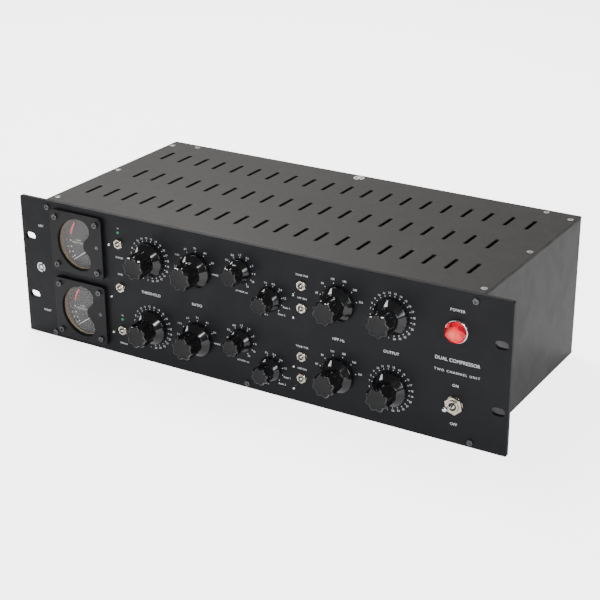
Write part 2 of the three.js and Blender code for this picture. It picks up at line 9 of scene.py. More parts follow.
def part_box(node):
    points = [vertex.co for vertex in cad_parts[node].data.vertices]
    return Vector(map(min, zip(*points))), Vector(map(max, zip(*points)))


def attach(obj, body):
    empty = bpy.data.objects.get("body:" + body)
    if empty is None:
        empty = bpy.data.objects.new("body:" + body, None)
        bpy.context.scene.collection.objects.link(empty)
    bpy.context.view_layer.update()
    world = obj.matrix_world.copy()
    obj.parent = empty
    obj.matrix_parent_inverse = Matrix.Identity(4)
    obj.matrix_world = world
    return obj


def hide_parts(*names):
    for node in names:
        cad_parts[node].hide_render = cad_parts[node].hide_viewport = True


bl_info = {
    "name": "Rack compressor",
    "version": (1, 0, 0),
    "blender": (4, 5, 0),
    "location": "3D View > Sidebar > Rack compressor",
    "description": "Builds a two-channel rack compressor around its packed model",
    "category": "Object",
}

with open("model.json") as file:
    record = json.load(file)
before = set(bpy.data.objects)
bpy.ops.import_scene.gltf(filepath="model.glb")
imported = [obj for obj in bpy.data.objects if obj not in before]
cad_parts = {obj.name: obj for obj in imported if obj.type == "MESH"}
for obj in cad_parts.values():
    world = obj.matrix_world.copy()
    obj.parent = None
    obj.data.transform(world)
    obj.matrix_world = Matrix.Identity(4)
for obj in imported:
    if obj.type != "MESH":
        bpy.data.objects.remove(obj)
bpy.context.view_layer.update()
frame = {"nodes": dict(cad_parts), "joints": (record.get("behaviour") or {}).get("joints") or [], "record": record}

# ---------------------------------------------------------------- places taken from the frame
MM = 0.001
JOINTS = {joint["name"]: joint for joint in frame["joints"]}
PANEL_LOW, PANEL_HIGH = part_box("front_panel")
COVER_LOW, COVER_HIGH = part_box("top_cover")
REAR_LOW, REAR_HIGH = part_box("rear_panel")
FRONT = PANEL_LOW.y
PANEL_THICKNESS = (PANEL_HIGH.y - PANEL_LOW.y) / MM
PANEL_WIDTH = (PANEL_HIGH.x - PANEL_LOW.x) / MM
PANEL_HEIGHT = (PANEL_HIGH.z - PANEL_LOW.z) / MM
MIDDLE = PANEL_HEIGHT / 2
CHASSIS = "chassis"
SIDES = ("left", "right")


def joint_place(name):
    """The x and z of a joint, in millimetres, as seen from the front."""
    x, _, z = JOINTS[name]["pos_m"]
    return x / MM, z / MM


# ---------------------------------------------------------------- controls and their scales
# First and last angle of each scale, anticlockwise from three o'clock, how far out its dots and
# numbers stand in millimetres, what is printed, and where each channel's pointer stands at rest.
POSITIONS = [str(number) for number in range(1, 25)]
SCALES = {
    "threshold": {
        "first": 262.5, "last": -82.5, "marks": POSITIONS, "dots": 17.1, "text": 19.6,
        "rest": {"left": 127.5, "right": 127.5}, "title": ("THRESHOLD", 0, -32), "large": True,
    },
    "ratio": {
        "first": 180, "last": 0, "marks": ["1:1", "1.5:1", "2:1", "3:1", "4:1", "6:1", "MAX"],
        "dots": 17.1, "text": 20.1,
        "rest": {"left": 120, "right": 120}, "title": ("RATIO", 0.2, -32), "large": True,
    },
    "attack": {
        "first": 180, "last": -60, "marks": ["0", "0.3", "0.8", "1.2", "2.4", "5", "9", "18", "36"],
        "dots": 12.2, "text": 14.4,
        "rest": {"left": 120, "right": 120}, "title": ("ATTACK ms", 1.2, -18.4), "large": False,
    },
    "release": {
        "first": 105, "last": -45, "marks": ["0.1", "0.3", "0.6", "1.2", "Auto 1", "Auto 2"],
        "dots": 12.2, "text": 14.4,
        "rest": {"left": 105, "right": 105}, "title": ("RELEASE s", -7, -14.6), "large": False,
    },
    "filter": {
        "first": 165, "last": 15, "marks": ["60", "80", "120", "180", "240", "320"],
        "dots": 17.4, "text": 20.9,
        "rest": {"left": 105, "right": 105}, "title": ("HPF Hz", 0.4, -32), "large": True,
    },
    "output": {
        "first": 262.5, "last": -82.5, "marks": POSITIONS, "dots": 17.1, "text": 19.6,
        "rest": {"left": 97.5, "right": 112.5}, "title": ("OUTPUT", 0, -32), "large": True,
    },
}
SWITCHES = (
    "left_bypass", "link", "right_bypass", "left_tone", "left_filter", "right_tone", "right_filter",
)
POWER_SWITCH = "power"

# ---------------------------------------------------------------- sizes of the pieces, in millimetres
# Cut-outs, screws, switches and lamp of the front panel.
RACK_SLOT = (11.5, 6.8)  # length and width
KNOB_HOLE = 5.3
METER_HOLE = 26.6
HOLE_POINTS = 24
HOLE_GAP = 0.3  # between a bushing and the edge of its hole
PANEL_SCREWS = ((-210, 4.6), (210, 4.6), (-210, 126.7), (210, 126.7), (0, 4.5))
SWITCH_SIZE = {
    False: {"bushing": 2.9, "height": 2.8, "mouth": 2.2, "flats": 8.0, "nut": 1.8, "pivot": 1.6,
            "ball": 1.6, "stem": 0.55, "tip": 1.2, "reach": 13.4, "tilt": 17.0, "housing": (3.9, 6.4)},
    True: {"bushing": 5.2, "height": 4.2, "mouth": 3.4, "flats": 14.0, "nut": 2.7, "pivot": 2.6,
           "ball": 2.6, "stem": 1.05, "tip": 2.3, "reach": 17.8, "tilt": 15.0, "housing": (7.4, 14.4)},
}
LAMP = {"flange": 10.0, "height": 2.2, "barrel": 8.0, "foot": 8.4, "lens": 9.3, "lens_height": 8.8}
# Knobs, large and small.
KNOB_SIZE = {
    True: {"skirt": 15.3, "edge": 4.4, "foot": 9.3, "grip": 11.0, "height": 25.0, "neck": 10.4},
    False: {"skirt": 10.8, "edge": 3.6, "foot": 7.5, "grip": 8.6, "height": 18.5, "neck": 8.0},
}
KNOB_LIFT = 0.6
KNOB_LOBES = 8
KNOB_RIM = (1.4, 3.6)  # how far the front rim's rounding reaches inwards and back
# Meters; angles are in degrees round the needle's pivot.
METER = {
    "size": 57.0,
    "corner": 4.0,
    "thickness": 3.5,
    "screw_pitch": 44.8,
    "scale_radius": 28.7,
    "needle_angle": 215.0,
    "zero": (22.4, 1.2),
}
WINDOW = {"middle": 3.0, "lobe_x": 5.5, "lobe_rise": 14.3, "lobe_radius": 9.5, "bite_x": 15.4}
METER_DOTS = (180.5, 192, 201.5, 209.7)
METER_NUMBERS = (
    ("1", 169.5, 34.2), ("2", 180.2, 33.8), ("4", 192, 33.0), ("8", 200.6, 32.6), ("16", 209.9, 31.8),
)
RED_BAND = (143.5, 168.5)
# Cover with its slots, and the folded sides.
VENT_ROWS = ((20, -57.0), (19, 0.0), (20, 57.0))  # slots in a row, and its place from the middle
VENT_PITCH = 20.0
VENT_SHIFT = -4.5
COVER_SCREWS = [(side * 209.6, y) for side in (-1, 1) for y in (14.5, 103.5, 191.5)]
COVER_SCREWS += [(-184.5, 198.5), (184.5, 198.5)]
SHEET = {"thickness": 1.5, "fold": 12.0, "bend": 2.2}
# Rear sockets and mains inlet.
SOCKETS = ("left_input", "left_output", "right_input", "right_output")
XLR = {
    "width": 26.0, "height": 31.0, "flange": 2.0, "bore": 9.6, "depth": 13.0, "insert": 7.9,
    "contacts": 5.0,
}
INLET = {
    "width": 50.0, "height": 36.0, "cavity": (25.0, 17.0), "drop": -6.0, "depth": 15.0,
    "wall": 1.2, "gap": 0.01,
}
# Lettering, gaps, weld distances in metres, and camera.
CAP_SHARE = 0.69  # capital height as a share of the built-in font's size
LONG_TEXT = 0.36  # how far out a number moves for each letter past its second, in capital heights
SMALL_TITLE = 0.62  # a small knob's title against a large knob's
SCREW_SUNK = 0.24  # how far a flange screw's head sits into its flange
STAND_OFF = 0.3  # between the cut sheet and the back of a flange
DIAL_INK = 0.04
# Where the dial's painted glow and the jewel's light begin and where they are full, in metres.
DIAL_GLOW = {"from_middle": (0.0195, 0.0245), "to_left": (0.004, 0.019)}
JEWEL_GLOW = (0.0075, 0.001)
INDICATOR_RISE = 10.5  # above its bypass switch
WELD = 1e-7
PLATE_WELD = 2e-6
SQUARE_ON = 0.99999  # a normal's largest part when its face looks along an axis
RIGHT_SHARE = 0.2  # power of the right-hand light against the front light's
CAMERA_SHIFT = (-0.0304, 0.0021)  # in sensor widths

MATERIALS = {}
GROUPS = {}


# ---------------------------------------------------------------- settings a user would change
def length(name, description, value, low=0.0, high=1.0):
    return bpy.props.FloatProperty(
        name=name, description=description, default=value, min=low, max=high, unit="LENGTH"
    )


def colour(name, description, value):
    return bpy.props.FloatVectorProperty(
        name=name, description=description, default=value, min=0, max=1, size=3, subtype="COLOR"
    )


def factor(name, description, value, high=1.0):
    return bpy.props.FloatProperty(name=name, description=description, default=value, min=0, max=high)


class CaseSettings(bpy.types.PropertyGroup):
    """Sheet-metal case and front panel"""

    panel_colour: colour("Panel", "Anodised finish of the front panel", (0.0072, 0.0074, 0.0096))
    coat_colour: colour("Coat", "Powder coat of the cover and sides", (0.0165, 0.0158, 0.0155))
    edge_round: length("Edge round", "Radius along the front panel's edges", 0.45 * MM)
    cover_round: length("Cover round", "Radius along the cover's edges", 0.5 * MM)
    vent_length: length("Slot length", "Length of a cooling slot", 23.5 * MM)
    vent_width: length("Slot width", "Width of a cooling slot", 3.0 * MM)
    wear: factor("Edge wear", "How much bare metal shows along edges", 0.35)


class PrintSettings(bpy.types.PropertyGroup):
    """Printed scales and words"""

    ink_colour: colour("Ink", "Colour of the printed scales", (0.78, 0.79, 0.8))
    number_height: length("Number height", "Capital height of the scale numbers", 1.75 * MM)
    word_height: length("Word height", "Capital height of the control names", 2.5 * MM)
    dot_radius: length("Dot radius", "Radius of a scale dot", 0.42 * MM)
    ink_thickness: length("Ink thickness", "How far the ink stands proud", 0.03 * MM)


class KnobSettings(bpy.types.PropertyGroup):
    """Fluted control knobs"""

    body_colour: colour("Body", "Moulded plastic of the knobs", (0.006, 0.006, 0.0065))
    pointer_colour: colour("Pointer", "White filling of the pointer line", (0.94, 0.94, 0.93))
    flute_depth: length("Flute depth", "Depth of the grip's flutes on a large knob", 1.7 * MM)


class MeterSettings(bpy.types.PropertyGroup):
    """Moving-needle meters"""

    dial_colour: colour("Dial", "Printed card behind the needle", (0.03, 0.027, 0.027))
    # Colour of the painted glow on the dial card and the meter rim.
    glow_colour: colour("Glow", "Warm light that leaks in round the card", (1.0, 0.62, 0.25))
    band_colour: colour("Band", "Red stretch of the scale", (0.82, 0.06, 0.09))
    needle_colour: colour("Needle", "Paint of the needle", (0.85, 0.85, 0.86))


class MetalSettings(bpy.types.PropertyGroup):
    """Switches, screws, lamp and rear sockets"""

    nickel_colour: colour("Nickel", "Plating of the toggle switches", (0.66, 0.6, 0.5))
    screw_colour: colour("Screws", "Black oxide of the socket screws", (0.11, 0.11, 0.115))
    steel_colour: colour("Bright screws", "Zinc plate of the cover screws", (0.62, 0.63, 0.65))
    jewel_colour: colour("Jewel", "Lens of the power lamp", (0.7, 0.0, 0.02))
    led_colour: colour("Indicator", "Small indicator lamps", (0.03, 0.26, 0.09))


class StageSettings(bpy.types.PropertyGroup):
    """Floor, lights and camera"""

    floor_colour: colour("Floor", "Pale floor", (0.93, 0.93, 0.93))
    floor_glow: factor("Floor glow", "Light given off by the lit floor", 0.16, 10)
    backdrop: factor("Backdrop", "Brightness of the floor and sky as the camera sees them", 3.6, 20)
    lens: bpy.props.FloatProperty(
        name="Lens", description="Focal length on a 36 mm sensor, in millimetres", default=90.3, min=10
    )
    distance: length("Distance", "Camera to the point it looks at", 1.2227, 0.1, 10)
    azimuth: bpy.props.FloatProperty(
        name="Azimuth", description="Camera's turn round the rack", default=math.radians(30.48),
        unit="ROTATION",
    )
    elevation: bpy.props.FloatProperty(
        name="Elevation", description="Camera's height angle", default=math.radians(23.29),
        unit="ROTATION",
    )
    aim: bpy.props.FloatVectorProperty(
        name="Aim", description="Point the camera looks at", default=(0.0703, FRONT, 0.0962), unit="LENGTH"
    )
    key_power: factor("Key light", "Power of the overhead light, in watts", 32.0, 1000)
    front_power: factor("Front light", "Power of the light that faces the panel, in watts", 40.0, 1000)
    fill_power: factor("Back light", "Power of the light behind, in watts", 5.0, 1000)
    sky_strength: factor("Sky", "Strength of the surrounding light", 0.14, 10)


SETTINGS = {
    "rack_case": CaseSettings,
    "rack_print": PrintSettings,
    "rack_knobs": KnobSettings,
    "rack_meters": MeterSettings,
    "rack_metal": MetalSettings,
    "rack_stage": StageSettings,
}


# ---------------------------------------------------------------- placing
def placed(right, up, out, origin):
    """A matrix that puts local millimetres (x right, y up, z outwards) in the frame."""
    columns = Matrix((right, up, out)).transposed().to_4x4()
    return Matrix.Translation(origin) @ columns @ Matrix.Scale(MM, 4)


def on_front(x, z, lift=0.0):
    """Local z points out of the front panel's face; lift is in millimetres."""
    return placed((1, 0, 0), (0, 0, 1), (0, -1, 0), (x * MM, FRONT - lift * MM, z * MM))


def on_top(x, y):
    """Local z points up from the top cover; y is the place in the frame, in millimetres."""
    return placed((1, 0, 0), (0, 1, 0), (0, 0, 1), (x * MM, y * MM, COVER_HIGH.z))


def on_rear(x, z, lift=0.0):
    """Local z points out of the rear panel's outer face; local x points to -X."""
    return placed((-1, 0, 0), (0, 0, 1), (0, 1, 0), (x * MM, REAR_HIGH.y + lift * MM, z * MM))


# ---------------------------------------------------------------- shapes
def is_square_on(normal):
    """Whether a face looks straight along one of the three axes."""
    return max(abs(part) for part in normal) > SQUARE_ON


def finish_mesh(bm, name, finishes, body, crease=35, flats=False):
    """Turns a bmesh into a smooth-shaded piece that rides on a body.

    The finishes are keys of MATERIALS with spaces between; flats keeps faces square on an axis flat.
    """
    bmesh.ops.remove_doubles(bm, verts=bm.verts, dist=WELD)
    bmesh.ops.recalc_face_normals(bm, faces=bm.faces)
    mesh = bpy.data.meshes.new(name)
    bm.to_mesh(mesh)
    bm.free()
    mesh.shade_smooth()
    mesh.set_sharp_from_angle(angle=math.radians(crease))
    for polygon in mesh.polygons:
        polygon.use_smooth = not (flats and is_square_on(polygon.normal))
    piece = bpy.data.objects.new(name, mesh)
    bpy.context.scene.collection.objects.link(piece)
    for key in finishes.split():
        mesh.materials.append(MATERIALS[key])
    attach(piece, body)
    return piece


def ring_points(radius, height, count):
    """Points round the axis; radius is a number or a function of the angle."""
    points = []
    for i in range(count):
        angle = 2 * math.pi * i / count
        reach = radius(angle) if callable(radius) else radius
        points.append(Vector((reach * math.cos(angle), reach * math.sin(angle), height)))
    return points


def loft(bm, rings, place, count=48, closed_ends=(True, True), material=0, closed_loop=False):
    """Skins a stack of rings, each (radius, height); returns the new faces."""
    loops = []
    for radius, height in rings:
        loops.append([bm.verts.new(place @ point) for point in ring_points(radius, height, count)])
    faces = []
    pairs = list(zip(loops, loops[1:]))
    if closed_loop:
        pairs.append((loops[-1], loops[0]))
    for low, high in pairs:
        for i in range(count):
            j = (i + 1) % count
            faces.append(bm.faces.new((low[i], low[j], high[j], high[i])))
    if not closed_loop:
        if closed_ends[0]:
            faces.append(bm.faces.new(list(reversed(loops[0]))))
        if closed_ends[1]:
            faces.append(bm.faces.new(loops[-1]))
    for face in faces:
        face.material_index = material
    return faces


def rounded_step(radius, height, round_size, steps=3):
    """Rings for a rounded outer edge that ends at (radius - round_size, height)."""
    rings = []
    for i in range(steps + 1):
        angle = math.pi / 2 * i / steps
        reach = radius - round_size * (1 - math.cos(angle))
        rise = height - round_size * (1 - math.sin(angle))
        rings.append((reach, rise))
    return rings


def hexagon(across_flats, soften=0.0):
    """Radius of a hexagon against angle, with corners cut back by soften."""

    def radius(angle):
        offset = (angle + math.pi / 6) % (math.pi / 3) - math.pi / 6
        return min(across_flats / 2 / math.cos(offset), across_flats / math.sqrt(3) - soften)

    return radius


def box(bm, low, high, place, edge_round=0.0):
    """A block between two local corners, with its edges rounded."""
    corners = [
        bm.verts.new(place @ Vector((x, y, z)))
        for x in (low[0], high[0])
        for y in (low[1], high[1])
        for z in (low[2], high[2])
    ]
    quads = ((0, 1, 3, 2), (4, 6, 7, 5), (0, 4, 5, 1), (2, 3, 7, 6), (0, 2, 6, 4), (1, 5, 7, 3))
    faces = [bm.faces.new([corners[i] for i in quad]) for quad in quads]
    if edge_round:
        edges = list(dict.fromkeys(edge for face in faces for edge in face.edges))
        bmesh.ops.bevel(bm, geom=edges, offset=edge_round * MM, segments=2, profile=0.5, affect="EDGES")


def arc(cx, cy, radius, start, end, steps=12):
    """Points along an arc, angles in degrees."""
    points = []
    for i in range(steps + 1):
        angle = math.radians(start + (end - start) * i / steps)
        points.append((cx + radius * math.cos(angle), cy + radius * math.sin(angle)))
    return points


def circle(cx, cy, radius, count):
    return arc(cx, cy, radius, 0, 360 - 360 / count, count - 1)


def rounded_rectangle(cx, cy, width, height, radius):
    x, y = width / 2 - radius, height / 2 - radius
    corners = ((x, y), (-x, y), (-x, -y), (x, -y))
    outline = []
    for quarter, (dx, dy) in enumerate(corners):
        outline += arc(cx + dx, cy + dy, radius, 90 * quarter, 90 * quarter + 90, 6)
    return outline


def slot_outline(cx, cy, length, width, upright=False):
    radius = width / 2
    reach = length / 2 - radius
    if upright:
        return arc(cx, cy + reach, radius, 0, 180, 8) + arc(cx, cy - reach, radius, 180, 360, 8)
    return arc(cx + reach, cy, radius, -90, 90, 8) + arc(cx - reach, cy, radius, 90, 270, 8)


def at_angle(degrees, reach):
    """A shift of reach millimetres at an angle round the local origin."""
    turn = math.radians(degrees)
    return Matrix.Translation((reach * math.cos(turn), reach * math.sin(turn), 0))


def bar(bm, rows):
    """A four-sided bar skinned over rows of four corners, closed at both ends."""
    for low, high in zip(rows, rows[1:]):
        for i in range(4):
            j = (i + 1) % 4
            bm.faces.new((low[i], low[j], high[j], high[i]))
    bm.faces.new(rows[0])
    bm.faces.new(rows[-1])


def plate(name, outlines, thickness, place, edge_round, finish, body):
    """A plate between local z 0 and thickness; the first outline is its edge, the rest are holes."""
    curve = bpy.data.curves.new(name, "CURVE")
    curve.dimensions = "2D"
    curve.fill_mode = "BOTH"
    curve.extrude = thickness / 2 - edge_round
    curve.bevel_depth = edge_round
    curve.bevel_resolution = 2
    curve.offset = -edge_round
    for outline in outlines:
        spline = curve.splines.new("POLY")
        spline.points.add(len(outline) - 1)
        for point, (x, y) in zip(spline.points, outline):
            point.co = (x, y, 0, 1)
        spline.use_cyclic_u = True
    source = bpy.data.objects.new(name, curve)
    bpy.context.scene.collection.objects.link(source)
    bpy.context.view_layer.update()
    mesh = bpy.data.meshes.new_from_object(source.evaluated_get(bpy.context.evaluated_depsgraph_get()))
    bpy.data.objects.remove(source)
    bpy.data.curves.remove(curve)
    bm = bmesh.new()
    bm.from_mesh(mesh)
    bpy.data.meshes.remove(mesh)
    bm.transform(place @ Matrix.Translation((0, 0, thickness / 2)))
    bmesh.ops.remove_doubles(bm, verts=bm.verts, dist=PLATE_WELD)
    return finish_mesh(bm, name, finish, body, flats=True)


# ---------------------------------------------------------------- printed words
def word(bm, text, cap_height, place, spacing, thickness):
    """Adds raised lettering; the local origin is the middle of its capitals."""
    curve = bpy.data.curves.new("lettering", "FONT")
    curve.body = text
    curve.size = cap_height / CAP_SHARE
    curve.align_x = "CENTER"
    curve.space_character = spacing
    curve.resolution_u = 3
    curve.extrude = thickness / 2
    source = bpy.data.objects.new("lettering", curve)
    mesh = bpy.data.meshes.new_from_object(source)
    shift = Matrix.Translation((0, -cap_height / 2, thickness / 2))
    mesh.transform(place @ shift)
    bm.from_mesh(mesh)
    bpy.data.objects.remove(source)
    bpy.data.curves.remove(curve)
    bpy.data.meshes.remove(mesh)


def dot(bm, radius, place, thickness, count=14):
    loft(bm, [(radius, -0.01), (radius, thickness)], place, count)


def band(bm, inner, outer, start, end, place, thickness, steps):
    """A raised strip along an arc round the local origin."""
    inside = arc(0, 0, inner, start, end, steps)
    outside = arc(0, 0, outer, start, end, steps)
    rows = []
    for (ix, iy), (ox, oy) in zip(inside, outside):
        corners = ((ix, iy, 0), (ox, oy, 0), (ox, oy, thickness), (ix, iy, thickness))
        rows.append([bm.verts.new(place @ Vector(corner)) for corner in corners])
    bar(bm, rows)


# ---------------------------------------------------------------- shader groups
def new_group(name, inputs, outputs):
    """An empty shader group with number or colour sockets; returns its tree, input and output nodes."""
    tree = bpy.data.node_groups.new(name, "ShaderNodeTree")
    for label, value in inputs:
        kind = "NodeSocketColor" if isinstance(value, tuple) else "NodeSocketFloat"
        socket = tree.interface.new_socket(name=label, in_out="INPUT", socket_type=kind)
        socket.default_value = value
    for label in outputs:
        tree.interface.new_socket(name=label, in_out="OUTPUT", socket_type="NodeSocketFloat")
    return tree, tree.nodes.new("NodeGroupInput"), tree.nodes.new("NodeGroupOutput")


class Graph:
    """Short-hand for adding and joining nodes in a tree."""

    def __init__(self, tree):
        self.tree = tree

    def add(self, kind, inputs=None, **settings):
        node = self.tree.nodes.new(kind)
        for key, value in settings.items():
            setattr(node, key, value)
        for key, value in (inputs or {}).items():
            if isinstance(value, bpy.types.NodeSocket):
                self.tree.links.new(value, node.inputs[key])
            else:
                node.inputs[key].default_value = value
        return node

    def math(self, operation, a, b=0.0, clamp=False):
        node = self.add("ShaderNodeMath", {0: a, 1: b}, operation=operation, use_clamp=clamp)
        return node.outputs[0]

    def spread(self, value, low, high, to_low=0.0, to_high=1.0):
        inputs = {"Value": value, "From Min": low, "From Max": high, "To Min": to_low, "To Max": to_high}
        return self.add("ShaderNodeMapRange", inputs).outputs["Result"]

    def mix(self, factor_value, a, b):
        node = self.add("ShaderNodeMix", data_type="RGBA")
        for index, value in ((0, factor_value), (6, a), (7, b)):
            if isinstance(value, bpy.types.NodeSocket):
                self.tree.links.new(value, node.inputs[index])
            else:
                node.inputs[index].default_value = value
        return node.outputs[2]

    def coordinates(self, scale=(1, 1, 1)):
        """Places on the piece itself, in metres times scale."""
        source = self.add("ShaderNodeTexCoord").outputs["Object"]
        return self.add("ShaderNodeMapping", {"Vector": source, "Scale": scale}).outputs["Vector"]


def grain_group():
    """Fine moulded or powder-coat texture: a height and a slow patchy mask."""
    tree, source, result = new_group(
        "Grain", [("Size mm", 1.0), ("Roughness", 0.6), ("Patch mm", 40.0)], ["Height", "Patches"]
    )
    graph = Graph(tree)
    place = graph.coordinates()
    fine_scale = graph.math("DIVIDE", 1000.0, source.outputs["Size mm"])
    fine = graph.add(
        "ShaderNodeTexNoise",
        {"Vector": place, "Scale": fine_scale, "Detail": 3.0, "Roughness": source.outputs["Roughness"]},
    )
    cells = graph.add("ShaderNodeTexVoronoi", {"Vector": place, "Scale": fine_scale}, feature="SMOOTH_F1")
    height = graph.math("MULTIPLY", fine.outputs["Fac"], cells.outputs["Distance"])
    patch_scale = graph.math("DIVIDE", 1000.0, source.outputs["Patch mm"])
    patch = graph.add("ShaderNodeTexNoise", {"Vector": place, "Scale": patch_scale, "Detail": 4.0})
    tree.links.new(height, result.inputs["Height"])
    tree.links.new(graph.spread(patch.outputs["Fac"], 0.35, 0.68), result.inputs["Patches"])
    return tree


def wear_group():
    """A mask that is strong along sharp outer edges and broken up by noise."""
    tree, source, result = new_group("Edge wear", [("Radius", 0.0006), ("Amount", 0.5)], ["Mask"])
    graph = Graph(tree)
    soft = graph.add("ShaderNodeBevel", {"Radius": source.outputs["Radius"]}, samples=4)
    true = graph.add("ShaderNodeNewGeometry")
    facing = graph.add("ShaderNodeVectorMath", operation="DOT_PRODUCT")
    tree.links.new(soft.outputs["Normal"], facing.inputs[0])
    tree.links.new(true.outputs["Normal"], facing.inputs[1])
    edge = graph.spread(facing.outputs["Value"], 0.995, 0.9)
    noise = graph.add("ShaderNodeTexNoise", {"Vector": graph.coordinates(), "Scale": 420.0, "Detail": 5.0})
    broken = graph.spread(noise.outputs["Fac"], 0.42, 0.62)
    worn = graph.math("MULTIPLY", edge, broken)
    mask = graph.math("MULTIPLY", worn, source.outputs["Amount"], clamp=True)
    tree.links.new(mask, result.inputs["Mask"])
    return tree


def handling_group():
    """Faint smears and fine scratches, for roughness."""
    tree, source, result = new_group("Handling", [("Smears", 0.5), ("Scratches", 0.3)], ["Mask"])
    graph = Graph(tree)
    smear = graph.add(
        "ShaderNodeTexNoise",
        {"Vector": graph.coordinates((1, 1, 0.7)), "Scale": 55.0, "Detail": 6.0, "Distortion": 0.8},
    )
    smears = graph.math("MULTIPLY", graph.spread(smear.outputs["Fac"], 0.4, 0.7), source.outputs["Smears"])
    scratch = graph.add(
        "ShaderNodeTexNoise",
        {"Vector": graph.coordinates((0.06, 0.06, 1)), "Scale": 2600.0, "Detail": 2.0},
    )
    lines = graph.spread(scratch.outputs["Fac"], 0.66, 0.76)
    scratches = graph.math("MULTIPLY", lines, source.outputs["Scratches"])
    mask = graph.math("ADD", smears, scratches, clamp=True)
    tree.links.new(mask, result.inputs["Mask"])
    return tree


def shared_group(name):
    builders = {"Grain": grain_group, "Edge wear": wear_group, "Handling": handling_group}
    if name not in GROUPS:
        GROUPS[name] = builders[name]()
    return GROUPS[name]


# ---------------------------------------------------------------- materials
def opaque(value):
    return (value[0], value[1], value[2], 1.0)


def lighter(value, times):
    return tuple(min(1.0, channel * times) for channel in value[:3]) + (1.0,)


def start_material(name):
    material = bpy.data.materials.new(name)
    material.use_nodes = True
    shader = material.node_tree.nodes["Principled BSDF"]
    return material, Graph(material.node_tree), shader


def use_group(graph, name, **values):
    node = graph.add("ShaderNodeGroup", node_tree=shared_group(name))
    for key, value in values.items():
        node.inputs[key.replace("_", " ")].default_value = value
    return node


def surface(name, base, roughness, size_mm, bump, metallic=0.0, wear=0.0, worn=(0.5, 0.5, 0.5),
            patch_mm=40.0, variation=0.25, smears=0.4, scratches=0.2, specular=0.5, coat=0.0,
            wear_radius=0.6 * MM):
    """A grained surface whose colour and roughness vary, with worn edges where asked."""
    material, graph, shader = start_material(name)
    links = material.node_tree.links
    grain = use_group(graph, "Grain", Size_mm=size_mm, Patch_mm=patch_mm)
    handling = use_group(graph, "Handling", Smears=smears, Scratches=scratches)
    tone = graph.mix(grain.outputs["Patches"], lighter(base, 1 - variation), lighter(base, 1 + variation))
    rough = graph.spread(handling.outputs["Mask"], 0.0, 1.0, roughness, min(1.0, roughness * 1.35 + 0.04))
    if wear:
        edge = use_group(graph, "Edge wear", Radius=wear_radius, Amount=wear)
        tone = graph.mix(edge.outputs["Mask"], tone, opaque(worn))
    links.new(tone, shader.inputs["Base Color"])
    links.new(rough, shader.inputs["Roughness"])
    relief = graph.add("ShaderNodeBump", {"Height": grain.outputs["Height"], "Strength": bump})
    relief.inputs["Distance"].default_value = size_mm * MM * 0.4
    links.new(relief.outputs["Normal"], shader.inputs["Normal"])
    shader.inputs["Metallic"].default_value = metallic
    shader.inputs["Specular IOR Level"].default_value = specular
    shader.inputs["Coat Weight"].default_value = coat
    shader.inputs["Coat Roughness"].default_value = 0.12
    return material


def ink_material(name, base):
    return surface(name, base, 0.55, 0.25, 0.08, variation=0.08, patch_mm=6, smears=0.2, scratches=0.1)


def glass_material(name):
    """Clear pane: mostly see-through, with faint wipe marks."""
    material, graph, shader = start_material(name)
    links = material.node_tree.links
    handling = use_group(graph, "Handling", Smears=0.25, Scratches=0.05)
    shader.inputs["Base Color"].default_value = (0.9, 0.92, 0.92, 1)
    links.new(graph.spread(handling.outputs["Mask"], 0, 1, 0.03, 0.06), shader.inputs["Roughness"])
    links.new(graph.spread(handling.outputs["Mask"], 0, 1, 0.05, 0.07), shader.inputs["Alpha"])
    shader.inputs["IOR"].default_value = 1.49
    return material


def glowing_material(name, base, glow, strength, roughness):
    """A glowing lens or plastic, for a lamp's lens or for plastic given a painted glow: brighter in slow patches,
    with fine moulding marks.
    """
    material, graph, shader = start_material(name)
    links = material.node_tree.links
    grain = use_group(graph, "Grain", Size_mm=0.8, Patch_mm=7.0)
    tone = graph.mix(grain.outputs["Patches"], lighter(base, 0.75), lighter(base, 1.15))
    light = graph.mix(grain.outputs["Patches"], lighter(glow, 0.45), opaque(glow))
    links.new(tone, shader.inputs["Base Color"])
    links.new(light, shader.inputs["Emission Color"])
    shader.inputs["Emission Strength"].default_value = strength
    rough = graph.spread(grain.outputs["Patches"], 0, 1, roughness * 0.8, roughness * 1.2)
    links.new(rough, shader.inputs["Roughness"])
    shader.inputs["Coat Weight"].default_value = 0.6
    shader.inputs["Coat Roughness"].default_value = 0.06
    return material


def dial_material(name, base, glow, centre):
    """Printed card with painted light: a warm glow where it meets its rim on the left, and a faint glow of its own
    colour all over.
    """
    material, graph, shader = start_material(name)
    links = material.node_tree.links
    grain = use_group(graph, "Grain", Size_mm=0.5, Patch_mm=9.0)
    place = graph.add("ShaderNodeTexCoord").outputs["Object"]
    away = graph.add("ShaderNodeVectorMath", operation="DISTANCE")
    links.new(place, away.inputs[0])
    away.inputs[1].default_value = centre
    near_rim = graph.spread(away.outputs["Value"], *DIAL_GLOW["from_middle"])
    split = graph.add("ShaderNodeSeparateXYZ", {"Vector": place})
    none, full = DIAL_GLOW["to_left"]
    on_left = graph.spread(split.outputs["X"], centre[0] - none, centre[0] - full)
    rim = graph.math("MULTIPLY", near_rim, on_left, clamp=True)
    tone = graph.mix(grain.outputs["Patches"], lighter(base, 0.95), lighter(base, 1.1))
    links.new(graph.mix(rim, tone, lighter(glow, 0.15)), shader.inputs["Base Color"])
    links.new(graph.mix(rim, opaque(base), lighter(glow, 0.3)), shader.inputs["Emission Color"])
    shader.inputs["Emission Strength"].default_value = 0.3
    links.new(graph.spread(grain.outputs["Patches"], 0, 1, 0.66, 0.74), shader.inputs["Roughness"])
    return material


